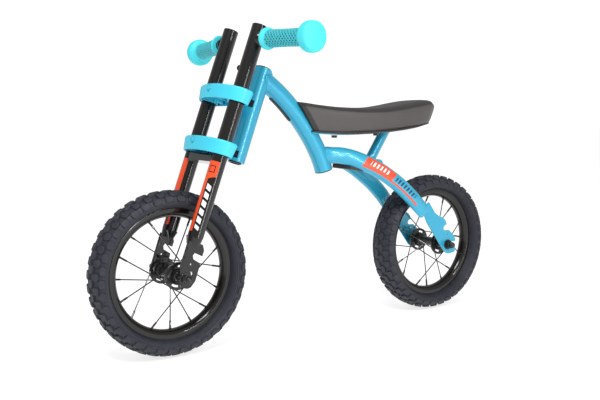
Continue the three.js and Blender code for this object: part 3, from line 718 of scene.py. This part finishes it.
# %% [markdown]
# Each flange is drilled with four long holes. It is drawn as a sheet of small cells in radius and angle
# with the cells of the holes left out, and then a Solidify modifier gives it its thickness.

# %% Hub
FLANGE_Y = 33.3
FLANGE_THICK = 2.8
FLANGE_CELLS = 120
HOLE_R, HOLE_HALF_TURN, HOLE_HALF_WIDTH = 18.2, math.radians(17), 1.9


def flange(name, centre, side):
    """A flat ring whose cells are left out where a rounded hole lies: a hole is all that is near an arc of
    radius HOLE_R that turns HOLE_HALF_TURN either way from its middle."""
    radii = np.concatenate([[12, 14], np.linspace(15.4, 21.8, 9), [23.6, 25.4]])
    line = np.stack([radii, np.full(len(radii), side * FLANGE_Y)], 1)
    grid = revolve(line, centre, LEFT, AHEAD, FLANGE_CELLS)
    angle = np.arange(FLANGE_CELLS) * 2 * np.pi / FLANGE_CELLS + np.pi / FLANGE_CELLS
    off = np.abs((angle + np.pi / 4) % (np.pi / 2) - np.pi / 4)
    arc = np.maximum(off - HOLE_HALF_TURN, 0) * HOLE_R
    middle = (radii[1:] + radii[:-1]) / 2
    open_cell = np.hypot(arc[None], middle[:, None] - HOLE_R) < HOLE_HALF_WIDTH
    mesh = bare_mesh(name, grid, Sheet(grid).faces()[~open_cell.ravel()])
    with edited(mesh) as shape:
        bmesh.ops.delete(shape, geom=[v for v in shape.verts if not v.link_faces], context="VERTS")
        bmesh.ops.recalc_face_normals(shape, faces=shape.faces)
    return mesh


barrel = rounded([(9.3, -37.4), (12, -37.4, .6), (12, -31, 1), (14.5, -30.5, 1), (11, -25, 3), (9.6, -14, 4),
                  (9.6, 14, 4), (11, 25, 3), (14.5, 30.5, 1), (12, 31, 1), (12, 37.4, .6), (9.3, 37.4)], 4)
for name, centre in WHEELS.items():
    hub = Sheet(revolve(barrel, centre, LEFT, AHEAD, 72), loop=True)
    piece_of(f"{name}_hub_barrel", [hub], black_metal, f"{name}_wheel", f"{name}_hub")
    for label, side in SIDES.items():
        disc = finish_piece(flange(f"{name}_hub_flange_{label}", centre, side), black_metal, f"{name}_wheel")
        thick = disc.modifiers.new("thickness", "SOLIDIFY")
        thick.thickness, thick.offset = FLANGE_THICK * MM, 0


# %% Spokes
SPOKES_A_SIDE = 8
SPOKE_LACE = math.radians(50)
SPOKE_HOLE_R = 23.2
SPOKE_TIP_R, SPOKE_TIP_Y = 104.8, 3.6


def spoke(centre, side, k):
    """One spoke: a round head on one face of the flange, a short bend through the hole, a straight run to
    the rim, and a nipple. Its thickness changes along it."""
    at_rim = (k + (0.5 if side > 0 else 0)) * 2 * np.pi / SPOKES_A_SIDE
    at_hub = at_rim + (SPOKE_LACE if k % 2 else -SPOKE_LACE)
    out = 1 if k % 2 else -1
    hole = np.array([SPOKE_HOLE_R * np.cos(at_hub), side * FLANGE_Y, SPOKE_HOLE_R * np.sin(at_hub)])
    tip = np.array([SPOKE_TIP_R * np.cos(at_rim), side * SPOKE_TIP_Y, SPOKE_TIP_R * np.sin(at_rim)])
    head, bend = hole + LEFT * side * out * 2.6, hole - LEFT * side * out * 2.8
    turn = bezier(hole, bend, bend, bend + unit(tip - bend) * 3, 6)
    run = bend + (tip - bend) * np.array([0.5, 0.84, 0.845, 0.86, 0.975, 0.98, 1.0])[:, None]
    path = np.concatenate([[head, head + (hole - head) * 0.3, head + (hole - head) * 0.45], turn, run])
    thick = np.array([2.2, 2.2] + [1.15] * 9 + [1.6, 1.9, 1.9, 2.3, 2.3])
    across = np.cross(LEFT, unit(hole))
    section = thick[:, None, None] * circle(1, 8)[None]
    return Sheet(capped(sweep(path + centre, section, across)))


for name, centre in WHEELS.items():
    for label, side in SIDES.items():
        laced = [spoke(centre, side, k) for k in range(SPOKES_A_SIDE)]
        piece_of(f"{name}_laced_spokes_{label}", laced, black_metal, f"{name}_wheel",
                 f"{name}_spokes_{label}")

# %% [markdown]
# ### Nuts and spacers
# A hexagon is the smaller of two radii: the flat sides, apothem / cos(angle from the middle of a side), and
# a circle that cuts its corners. Giving each height its own circle makes the flange, the chamfer and the
# dome of the nut in one surface.

# %% Nuts and spacers
NUT_BODY = {"front": "fork", "rear": "frame"}
PLATE_FACE = {"front": 63.5, "rear": 59.8}
PLATE_THICK = 3.6
HUB_FACE = 37.7


def nut_grid(centre, side, face):
    """Rings of (height, circle radius, apothem): radius = min(circle, apothem / cos(angle)). A ring with no
    apothem is round."""
    rows = [(13, 0.01), (13, 5.3), (0, 5.3), (0, 10.6), (0.4, 11), (1.6, 11), (2.1, 10.4), (2.2, 8.8, 7.5),
            (8.2, 8.8, 7.5), (8.9, 8.2, 7.5), (9.3, 7.4, 7.4), (9.4, 6.9), (13.5, 6.8), (16, 6.2), (18, 4.9),
            (19.1, 3), (19.5, 1.4)]
    height, circle_r, apothem = np.array([(*row, np.inf)[:3] for row in rows]).T
    angle = np.linspace(0, 2 * np.pi, 72, endpoint=False)
    fold = (angle + np.pi / 6) % (np.pi / 3) - np.pi / 6
    radius = np.minimum(circle_r[:, None], apothem[:, None] / np.cos(fold))
    across = np.stack([np.cos(angle), 0 * angle, np.sin(angle)], 1)
    return capped(centre + radius[..., None] * across + (face + height)[:, None, None] * (side * LEFT))


for name, centre in WHEELS.items():
    for label, side in SIDES.items():
        nut = Sheet(nut_grid(centre, side, PLATE_FACE[name]))
        piece_of(f"{name}_domed_nut_{label}", [nut], black_metal, NUT_BODY[name], f"{name}_nut_{label}")
        inner, outer = HUB_FACE, PLATE_FACE[name] - PLATE_THICK
        tube_line = rounded([(5.3, inner), (7, inner, .4), (8, inner + 2, 1), (8, outer - 1, .6),
                             (8, outer, .4), (5.3, outer)], 3)
        spacer = Sheet(revolve(tube_line * (1, side), centre, LEFT, AHEAD, 48), loop=True)
        piece_of(f"{name}_axle_spacer_{label}", [spacer], black_metal, NUT_BODY[name],
                 f"{name}_spacer_{label}")

# %% [markdown]
# ## Fork
# The legs are plain open tubes. Their grid keeps its own UV values in millimetres: girth from the outer
# side and height up the leg, which is where the decal is drawn.

# %% Legs and leg ends
DECAL_TURN = math.radians(65)
LEG_COLUMNS = 96


def leg(label, side):
    """A tube wall turned round the leg's own axis. It starts opposite the decal, so that the decal has no
    seam. The girth counts forwards on both legs, so the decals mirror each other."""
    wall = rounded([(LEG_BORE, LEG_FOOT), (LEG_R, LEG_FOOT, .4), (LEG_R, LEG_TOP, .5),
                    (LEG_BORE, LEG_TOP, .5), (LEG_BORE, LEG_FOOT + 1)], 3)
    facing = math.cos(DECAL_TURN) * side * LEFT + math.sin(DECAL_TURN) * AHEAD
    grid = revolve(wall, lean(0, side * LEG_Y, 0), UP, -facing, LEG_COLUMNS)
    girth = -side * (np.arange(LEG_COLUMNS + 1) / LEG_COLUMNS - 0.5) * 2 * np.pi * LEG_R
    tube = Sheet(grid, loop=True, across=girth, along=wall[:, 1])
    weighted(piece_of(f"fork_leg_{label}", [tube], black_decal, "fork", f"leg_{label}"))


for label, side in SIDES.items():
    leg(label, side)
    softened(f"fork_end_{label}", 0.5, black_paint, "fork")
softened("fork_bridge", 1.2, black_paint, "fork")


# %% Handlebars
def bar_frame(side):
    """Where a handlebar leaves its leg, and the way it points: out and slightly back."""
    start = lean(0, side * LEG_Y, BAR_UP)
    return start, unit(side * LEFT - BAR_SWEEP * AHEAD)


# %% Grips
GRIP_HOLES_AROUND, GRIP_HOLE_PITCH = 12, 7.6
GRIP_HOLE_R, GRIP_HOLE_DEPTH = 1.75, 1.5
FIRST_HOLE, LAST_HOLE = 46, 130
GRIP_R = 15.8
GRIP_COLUMNS = 168


def grip_line():
    """The grip from its bore mouth over the inner flange, the body and the wide end knob to the axis."""
    mouth = rounded([(11.3, 60), (11.3, 31, .5), (19.4, 31, 1.5), (20.4, 35.5, 2), (17.2, 41, 2.5),
                     (16.2, 45, 2)], 5)
    body = evenly(np.array([(16.2, 45), (15.6, 88), (15.9, 131)], float), 0.62)
    knob = rounded([(15.9, 131), (17, 136.5, 4), (25.2, 141.5, 3), (27, 145.5, 3), (27, 156, 2.5),
                    (25.4, 161.5, 3.5), (14, 164.6, 6), (0, 165.6)], 6)
    return np.concatenate([mouth, body[1:], knob[1:]])


def grip_grid(start, out):
    """The grip's line turned round the bar, pressed in where its small holes lie. The holes are staggered:
    two rectangular nets of points, one half a step off the other, and each point is the middle of a hole."""
    line = grip_line()
    along = line[:, 1]
    grid = revolve(line, start, out, UP, GRIP_COLUMNS)
    turn = np.arange(GRIP_COLUMNS)[None] / GRIP_COLUMNS * GRIP_HOLES_AROUND
    row = (along - FIRST_HOLE)[:, None] / GRIP_HOLE_PITCH
    pitch_around = 2 * np.pi * GRIP_R / GRIP_HOLES_AROUND
    depth = np.zeros(grid.shape[:2])
    for shift in (0, 0.5):
        u, v = turn + shift, row + shift
        apart = np.hypot((u - np.round(u)) * pitch_around, (v - np.round(v)) * GRIP_HOLE_PITCH)
        depth = np.maximum(depth, np.clip((GRIP_HOLE_R - apart) / 0.5 + 0.5, 0, 1))
    depth *= ((along > FIRST_HOLE - 2) & (along < LAST_HOLE - 1))[:, None]
    # shade is painted shade: 1 in the holes and 0.30 over the body between them, so the body looks darker
    # than the knob
    shade = np.maximum(depth, 0.30 * ((along > FIRST_HOLE - 3) & (along < LAST_HOLE + 2))[:, None])
    inward = unit(start + along[:, None, None] * out - grid + 1e-9)
    return grid + inward * (GRIP_HOLE_DEPTH * depth)[..., None], shade


for label, side in SIDES.items():
    start, out = bar_frame(side)
    bar_line = rounded([(0, 13.4), (BAR_R, 13.4, .3), (BAR_R, 148, 1), (0, 148)], 3)
    collar = rounded([(BAR_R, 13.4), (14.2, 13.8, 1), (13.4, 17.5, 1.5), (BAR_R, 20)], 4)
    bar = [Sheet(revolve(line, start, out, UP), loop) for line, loop in ((bar_line, False), (collar, True))]
    piece_of(f"handlebar_{label}", bar, black_paint, "fork", f"bar_{label}")
    points, shade = grip_grid(start, out)
    mesh = bare_mesh(f"soft_grip_{label}", points, Sheet(points).faces())
    # the attribute carries the painted shade of the holes and the body
    painted_hole_shade = mesh.attributes.new("painted_hole_shade", "FLOAT", "POINT")
    painted_hole_shade.data.foreach_set("value", shade.ravel().astype(np.float32))
    with edited(mesh) as shape:
        bmesh.ops.remove_doubles(shape, verts=shape.verts, dist=MERGE * MM)
        bmesh.ops.holes_fill(shape, edges=[edge for edge in shape.edges if edge.is_boundary], sides=0)
        bmesh.ops.recalc_face_normals(shape, faces=shape.faces)
    finish_piece(mesh, grip_rubber, "fork", [f"grip_{label}"], crisp=50)

# %% [markdown]
# ### Crowns
# A crown is moulded: its outline from above is half an ellipse in front and a straight back, its side wall
# leans in towards its lower edge so that it leaves the mould, and it is hollow underneath. The wall is the
# outline moved inwards by an amount that changes with height. The leg sleeves, ribs and the tongue that
# reaches the steering column are joined to it, and the leg bores are cut, as solids.

# %% The shell of a crown
CROWN_HALF_WIDTH, CROWN_FRONT = 78, 36.5
DISC_UP = 18.5
POST_AHEAD, POST_LEFT = -5, 25


def crown_outline():
    """The crown from above, as (ahead, left) points all the way round, anticlockwise."""
    back = rounded([(0, CROWN_HALF_WIDTH), (-13, 76.6, 4), (-21, 69, 7), (-21, -69, 7), (-13, -76.6, 4),
                    (0, -CROWN_HALF_WIDTH)], 6)
    angle = np.linspace(-np.pi / 2, np.pi / 2, 120)[1:-1]
    front = np.stack([CROWN_FRONT * np.cos(angle), CROWN_HALF_WIDTH * np.sin(angle)], 1)
    return evenly(np.concatenate([front, back]), 1.7, closed=True)


def crown_shell(bottom):
    """Rings of (inset, height): each is the outline moved inwards along its own normal."""
    outline = crown_outline()
    tangent = unit(np.roll(outline, -1, 0) - np.roll(outline, 1, 0))
    inward = np.stack([-tangent[:, 1], tangent[:, 0]], 1)
    rings = [(3.6, 22.8), (6.8, 1.0), (6.4, 0.3), (5.6, 0.0), (4.9, 0.0), (4.3, 0.3), (3.9, 1.0), (3.6, 2.4),
             (0.7, 21.5), (0.6, 23.4), (1.0, 24.7), (1.9, 25.6), (3.2, 26.0), (5.0, 26.0)]
    grid = []
    for inset, height in rings:
        ring = outline + inset * inward
        grid.append(lean(ring[:, :1], ring[:, 1:], bottom + height))
    return Sheet(capped(np.array(grid)))


# %% Crowns
def post(ahead, left, low, high, radius, segments=48):
    """A closed round post that stands along the legs."""
    line = np.array([(0, low), (radius, low), (radius, high), (0, high)], float)
    return Sheet(revolve(line, lean(ahead, left, 0), UP, AHEAD, segments))


def crown(label, bottom):
    """The shell with its tongue, three ribs, two leg sleeves and two screw posts joined, the bores of legs
    and screws and the recess of the round cover cut away, and the cover itself."""
    top = bottom + CROWN_HEIGHT
    disc_middle = lean(0, 0, bottom + DISC_UP)
    post_foot = bottom + (3 if label == "top" else 5)
    joined = [block((STEER_BACK + 13, -7, bottom + 12.5), (-8, 7, bottom + 24.4))]
    for left in (-27, 0, 27):
        joined.append(block((-18, left - 1.2, bottom + 6), (26 - abs(left) / 4, left + 1.2, top - 1.5)))
    joined += [post(0, side * LEG_Y, bottom + 1.5, top - 1.2, 18.2, 64) for side in (1, -1)]
    joined += [post(POST_AHEAD, side * POST_LEFT, post_foot, top - 1.3, 8.4) for side in (1, -1)]
    removed = [post(0, side * LEG_Y, bottom - 20, top + 20, LEG_R + 0.25, 96) for side in (1, -1)]
    removed += [post(POST_AHEAD, side * POST_LEFT, post_foot - 5, post_foot + 9, 4.6) for side in (1, -1)]
    recess = np.array([(0, 30.5), (7.6, 30.5), (7.6, 60.0), (0, 60.0)])
    removed.append(Sheet(revolve(recess, disc_middle, AHEAD, UP, 48)))
    mesh = combined(f"crown_shell_{label}", crown_shell(bottom), joined, removed)
    weighted(finish_piece(mesh, crown_plastic, "fork", [f"crown_{label}"], crisp=30))
    cover = rounded([(0, 31), (6.7, 31, .3), (6.7, 36.3, .4), (5.0, 36.5, .2), (4.8, 36.0, .2), (0, 36.0)], 4)
    disc = Sheet(revolve(cover, disc_middle, AHEAD, UP, 64), along=cover[:, 0])
    piece_of(f"crown_disc_{label}", [disc], crown_groove_shade, "fork", f"crown_cover_{label}")


for label, bottom in CROWNS.items():
    crown(label, bottom)

# %% Steering cap and the ridged button on the left leg
STEER_AXIS = lean(STEER_BACK, 0, 0)
BUTTON_UP = 392
cap_line = rounded([(0, 411), (9.4, 411), (9.4, 420.4), (16.2, 420.4, .4), (16.4, 421.4, .6), (13, 422.8, 2),
                    (0, 423.4)], 4)
cap = Sheet(revolve(cap_line, STEER_AXIS, UP, AHEAD))
piece_of("steering_cap", [cap], black_plastic, "fork", "steerer_cap")
out = unit(0.5 * AHEAD - 0.866 * LEFT)
ridges = rounded([(0, -0.6), (5.5, -0.6), (5.6, 1.2, .4), (4.5, 2, .4), (5.4, 2.9, .4), (4.4, 3.9, .4),
                  (3.2, 5, .8), (0, 5.4)], 4)
button = Sheet(revolve(ridges, lean(0, LEG_Y, BUTTON_UP) + out * (LEG_R + 0.3), out, UP, 48))
piece_of("ridged_button", [button], black_plastic, "fork", "leg_button")

# %% [markdown]
# ## Frame
# The frame is welded from steel tube. Where one tube meets another, its end is shaped to it: every line
# along the tube runs on until it meets the other tube's surface. A rippled bead follows that seam.

# %% Tube ends
def run_to_cylinder(points, direction, centre, axis, radius):
    """Moves each point along the direction to where it first meets a round tube: the smaller root of a
    quadratic in the distance, with the parts along the tube's axis taken out."""
    axis = unit(axis)
    start, way = (v - np.sum(v * axis, -1, keepdims=True) * axis for v in (points - centre, direction))
    a = np.sum(way * way)
    b = 2 * np.sum(start * way, -1)
    c = np.sum(start * start, -1) - radius**2
    distance = (-b - np.sqrt(np.maximum(b * b - 4 * a * c, 0))) / (2 * a)
    return points + distance[:, None] * direction


# %% Head tube
def sector(bottom):
    """The window that a crown's tongue swings in: a wedge round the steering axis, closed as a solid."""
    angle = np.linspace(-1.11, 1.11, 40)
    wedge = np.concatenate([[[-4, 0]], 26 * np.stack([np.cos(angle), np.sin(angle)], 1)])
    rings = [lean(STEER_BACK, 0, up) + wedge[:, :1] * AHEAD + wedge[:, 1:] * LEFT
             for up in (bottom + 11.5, bottom + 25.5)]
    return Sheet(capped(np.array(rings)))


wall = rounded([(HEAD_BORE, HEAD_BOTTOM, .5), (HEAD_R, HEAD_BOTTOM, .5), (HEAD_R, HEAD_TOP, .5),
                (HEAD_BORE, HEAD_TOP, .5)], 3, closed=True)
head = Sheet(revolve(wall, STEER_AXIS, UP, AHEAD, 120), loop=True)
mesh = combined("head_tube_shell", head, removed=[sector(bottom) for bottom in CROWNS.values()])
weighted(finish_piece(mesh, blue_paint, "frame", ["head_tube"], crisp=30))

# %% Main tube
MAIN_FOOT = np.array([-23.0, 0, 327])
MAIN_STEP = 4
MAIN_BORE, FOOT_DEPTH = 16.5, 14
MAIN_WELD_R = 2.3
main_path = bezier(lean(STEER_BACK, 0, 400), (72, 0, 480), (-5, 0, 390), MAIN_FOOT, 240)
from_axis = np.linalg.norm(np.cross(main_path - STEER_AXIS, UP), axis=1)
main_path = evenly(main_path[from_axis > 30], MAIN_STEP)


def main_surface(radius, to_head=True):
    """The tube along its path, with its upper end run on to the head tube."""
    grid = sweep(main_path, circle(radius, 72), LEFT)
    back = unit(main_path[0] - main_path[1])
    if to_head:
        mouth = run_to_cylinder(grid[0], back, STEER_AXIS, UP, HEAD_R - 0.2)
        steps = np.linspace(1, 0, 5)[:-1, None, None]
        grid = np.concatenate([grid[0] + (mouth - grid[0]) * steps, grid])
    return grid


def foot_wall(grid, radius, bore, depth):
    """Turns a tube's open end in over its wall and back up inside: the last ring scaled and moved."""
    centre = grid[-1].mean(0)
    way = unit(centre - grid[-2].mean(0))
    ring = (grid[-1] - centre) / radius
    steps = [(radius - 0.1, 0.3), (radius - 0.5, 0.5), (bore + 0.4, 0.5), (bore, 0.1), (bore, -depth)]
    return np.concatenate([grid, [centre + ring * r + way * along for r, along in steps]])


outer = main_surface(TUBE_R)
weld = bead(outer[0], MAIN_WELD_R)
sheets = [Sheet(capped(foot_wall(outer, TUBE_R, MAIN_BORE, FOOT_DEPTH))), Sheet(weld, loop=True)]
piece_of("main_tube_shell", sheets, blue_paint, "frame", "main_tube")
print("main tube is", round(len(main_path) * MAIN_STEP), "mm long")

foot_way = unit(main_path[-1] - main_path[-2])
plug_line = rounded([(0, -8), (14.6, -8, .5), (14.6, 0.4), (18.0, 0.9, .4), (18.2, 2.0, .6), (17, 2.6, .8),
                     (0, 2.6)], 3)
plug = Sheet(revolve(plug_line, MAIN_FOOT, foot_way, LEFT, 72))
piece_of("tube_end_plug", [plug], black_plastic, "frame", "main_tube_plug")


# %% The strip under the main tube
STRIP_FROM_X, STRIP_TO_X = 44, 96


def strip_grid():
    """A thin curved strip: a slice of a ring round the tube, carried along a stretch of its path, drawn in
    at both ends."""
    keep = main_path[(main_path[:, 0] > STRIP_FROM_X) & (main_path[:, 0] < STRIP_TO_X)]
    angle = np.linspace(-0.22, 0.22, 9)
    arc = np.stack([np.cos(angle), np.sin(angle)], 1)
    outer, inner = TUBE_R + 2.2, TUBE_R + 0.3
    section = np.concatenate([outer * arc, inner * arc[::-1]])
    middle = np.array([(outer + inner) / 2, 0])
    count = np.arange(len(keep))
    shrink = np.clip(np.minimum(count, count[::-1]) / 2 + 0.55, 0, 1)
    sections = middle + (section - middle) * shrink[:, None, None]
    return capped(sweep(keep, sections, -LEFT))


strip = piece_of("tube_strip", [Sheet(strip_grid())], black_plastic, "frame", "tube_pad")
round_edges(strip, 0.7)

# %% [markdown]
# ### Stays
# Two oval tubes leave the lower end of the main tube side by side and sweep out, back and down to the rear
# axle. At the front each is pressed narrow so that it lies against the main tube.

# %% Stays
STAY_LINE = [(-17, 9, 357), (-32, 13.5, 357), (-54, 18, 355.5), (-79, 27, 349.5), (-106, 34.5, 339),
             (-134, 40, 325.5), (-162, 44, 308.5), (-190, 47.3, 289), (-219, 50.2, 264), (-240, 53.5, 243),
             (-258, 56.5, 224)]
STAY_STEP = 3.5
STAY_GIRTH_R = 15


def stay_grid(side):
    """An oval (height * cos a, width * sin a) carried along the stay, with its width and height given along
    the way: narrow at the front, full in the middle, and rounded over at the closed rear end."""
    path = evenly(through(STAY_LINE, 200), STAY_STEP) * (1, side, 1)
    length = np.arange(len(path)) * STAY_STEP
    left = length[-1] - length
    near_end = np.clip(left / 9, 0.03, 1)
    end = np.sqrt(near_end * (2 - near_end))
    flat = np.interp(left, [0, 12, 48], [0.34, 0.42, 1])
    width = np.interp(length, [0, 10, 30, 50], [8, 9.6, 12, STAY_HALF_WIDTH]) * end * flat
    height = np.interp(length, [0, 20, 45], [15.5, 16.4, STAY_HALF_HEIGHT]) * end
    return sweep(path, np.stack([height, width], 1)[:, None] * circle(1, 64), LEFT), length


for label, side in SIDES.items():
    grid, length = stay_grid(side)
    girth = (np.arange(65) / 32 - (0.5 if side > 0 else 1.5)) * np.pi * STAY_GIRTH_R
    tube = Sheet(capped(grid), across=girth * side, along=np.concatenate([[0], length, [length[-1]]]))
    piece_of(f"oval_stay_{label}", [tube], blue_decal, "frame", f"stay_{label}")
    softened(f"rear_plate_{label}", 0.6, blue_paint, "frame")

# %% Cross tube, strut and the plate between the stays
BRIDGE = np.array([-141.0, 0, 337])
STRUT_TOP = np.array([-191.0, 0, 411])
SEAT_X, SEAT_Z, SEAT_SLOPE = -187, 403.4, 0.11
BRIDGE_R, BRIDGE_END, STRUT_R, STRUT_WELD_R = 9, 38, 10.8, 1.9
bridge = rounded([(0, -BRIDGE_END), (BRIDGE_R, -BRIDGE_END, .5), (BRIDGE_R, BRIDGE_END, .5),
                  (0, BRIDGE_END)], 3)
piece_of("cross_tube", [Sheet(revolve(bridge, BRIDGE, LEFT, AHEAD, 64))], blue_paint, "frame", "stay_bridge")
strut_way = unit(STRUT_TOP - BRIDGE)
grid = sweep(BRIDGE + strut_way * np.linspace(14, 72, 12)[:, None], circle(STRUT_R, 64), LEFT)
foot = run_to_cylinder(grid[0], -strut_way, BRIDGE, LEFT, BRIDGE_R - 0.2)
above = SEAT_Z - SEAT_SLOPE * (grid[-1][:, 0] - SEAT_X) - grid[-1][:, 2]
top = grid[-1] + strut_way * (above / (strut_way[2] + SEAT_SLOPE * strut_way[0]))[:, None]
welds = [Sheet(bead(loop, STRUT_WELD_R), loop=True) for loop in (foot, top - strut_way * 1.2)]
strut = Sheet(capped(np.concatenate([foot[None], grid, top[None]])))
piece_of("strut_tube", [strut, *welds], blue_paint, "frame", "seat_strut")
softened("foot_plate", 1.8, black_plastic, "frame")
softened("seat_plate", 0.5, blue_paint, "frame")
softened("seat_base", 0.8, black_plastic, "frame")
for label in WHEELS:
    softened(f"seat_screw_{label}", 0.5, black_metal, "frame", "bright_steel")

# %% [markdown]
# ## Saddle
# The saddle is a foam pad with a tight skin, moulded rather than sewn, so its form is worked out directly
# and no cloth is simulated. Two parameters describe it: how far back a slice is, and the angle round the
# slice. Slices lean: the nose slants back under the tube and the tail slants forward.

# %% Saddle
SADDLE_BACK = np.array([0, .06, .14, .26, .40, .55, .68, .78, .87, .95, 1])
SADDLE_TOP_X = (50, -302)
SADDLE_FOOT_X = (9, -287)
SADDLE_TOP_Z = [463, 461, 457.5, 453.6, 451.8, 453.2, 458.5, 464.2, 468.6, 469.6, 464]
SADDLE_FOOT_Z = [401.5, 400.8, 399.6, 398.4, 398.4, 400.4, 403.8, 407.2, 411.2, 416.0, 420]
SADDLE_HALF_WIDTH = [26, 28, 31.5, 38, 46, 53, 56.5, 57, 55, 47, 33]


def saddle_grid():
    """Slices of a boxy rounded form: a superellipse |cos|^k, |sin|^k in width and height, with its lower
    half drawn in. The last slices shrink and bulge out to close the tail, and the first close the nose."""
    back = np.linspace(0, 1, 96)
    top, foot, half = (np.interp(back, *through(np.stack([SADDLE_BACK, values], 1), 400).T)
                       for values in (SADDLE_TOP_Z, SADDLE_FOOT_Z, SADDLE_HALF_WIDTH))
    c, s = circle(1, 3000).T
    soft = np.where(s > 0, 1.45, 1.0)
    section = np.stack([50 * np.sign(c) * np.abs(c) ** (0.27 * soft),
                        26 * np.sign(s) * np.abs(s) ** (0.34 * soft)], 1)
    section = evenly(section, 2.3, closed=True)
    across, rise = section[:, 0] / 50, 0.5 + section[:, 1] / 52
    draw = 1 - 0.13 * (1 - rise) ** 1.4
    crown = 1.6 * (1 - across**2)

    def slices(at, scale, push):
        x_top = np.interp(at, [0, 1], SADDLE_TOP_X) + push
        x_foot = np.interp(at, [0, 1], SADDLE_FOOT_X) + push
        t, f, h = (np.interp(at, back, v) for v in (top, foot, half))
        lift = 0.5 + (rise - 0.5) * scale
        y = h * across * draw * scale
        z = f + (t - f) * lift + crown * (rise > 0.5) * scale
        return np.stack([x_foot + (x_top - x_foot) * lift, y, z], 1)

    body = [slices(at, 1, 0) for at in back]
    turn = np.linspace(0, np.pi / 2, 9)[1:]
    tail = [slices(1, 1 - 0.16 * (1 - np.cos(t)), -5 * np.sin(t)) for t in turn]
    tail += [slices(1, scale, -5 - 2 * (1 - scale)) for scale in (0.6, 0.3)]
    nose = [slices(0, 1 - 0.07 * (1 - np.cos(t)), 3 * np.sin(t)) for t in turn[::2]]
    nose += [slices(0, scale, 3) for scale in (0.6, 0.3)]
    return capped(np.array(nose[::-1] + body + tail))


# %% The saddle, cut to the tube
tube_tool = main_surface(TUBE_R + 0.45, to_head=False)
mesh = combined("saddle_pad", Sheet(saddle_grid()), removed=[Sheet(capped(tube_tool))])
saddle = finish_piece(mesh, saddle_skin, "frame", ["seat_pad"], crisp=42)
print("saddle", len(mesh.polygons), "faces")

# %% [markdown]
# ## The parts that stay as they are
# Axles, bearings, the steering column and the long crown screws are inside other parts. Their frame shapes
# are right, so they only get a finish.

# %% Finishes of the inner parts
STEEL_PARTS = ["upper_steering_bearing", "lower_steering_bearing", "crown_screw_top", "crown_screw_bottom"]
STEEL_PARTS += [f"{name}_{part}" for name in WHEELS for part in ("axle", "bearing_left", "bearing_right")]
for name in ["steerer", *STEEL_PARTS]:
    materials = frame["nodes"][name].data.materials
    materials.clear()
    materials.append(bright_steel if name in STEEL_PARTS else black_metal)

# %% [markdown]
# ## Studio
# The bike stands on a wide white floor under a white sky. The floor glows a little, which keeps its shadows
# faint, and the sky lights the bike less than it is itself seen, so that gloss black stays black. Two long
# narrow lights on the left draw the thin bright lines that gloss tubes show, and a broad one is the key.

# %% Floor and sky
SPREAD, FLOOR_Z = 40, -0.0005  # in metres
corners = [(x * SPREAD, y * SPREAD, FLOOR_Z) for x, y in ((-1, -1), (1, -1), (1, 1), (-1, 1))]
floor_mesh = bpy.data.meshes.new("studio_floor")
floor_mesh.from_pydata(corners, [], [(0, 1, 2, 3)])
floor = placed("studio_floor", floor_mesh)
floor_mesh.materials.append(Finish("studio_floor").done(
    (0.50, 0.50, 0.50), 0.7, Emission_Color=(1, 1, 1, 1), Emission_Strength=0.72))

sky = Finish("white_sky", bpy.data.worlds.new("white_sky"))
seen = sky.node("ShaderNodeLightPath", output="Is Camera Ray")
background = sky.node("ShaderNodeBackground", values={"Color": (1, 1, 1, 1), "Strength": 0.50 + 0.62 * seen})
sky.node_output(background, "ShaderNodeOutputWorld")
bpy.context.scene.world = sky.material
bpy.context.scene.view_settings.view_transform = "Standard"


# %% Lights
def light(name, place, aim, size, energy):
    """A rectangular light at a place in metres, turned to face its aim."""
    lamp = bpy.data.lights.new(name, "AREA")
    lamp.shape, lamp.size, lamp.size_y, lamp.energy = "RECTANGLE", size[0], size[1], energy
    stand(placed(name, lamp), place, Vector(aim) - Vector(place))


light("broad_light", (1.2, 1.2, 2.4), (0, 0, 0.3), (0.9, 0.9), 46)
light("strip_light_near", (-0.30, 1.95, 0.8), (0.33, 0.05, 0.35), (0.07, 2.2), 15)
light("strip_light_far", (-0.06, 2.02, 0.8), (0.33, 0.05, 0.35), (0.035, 2.2), 7)
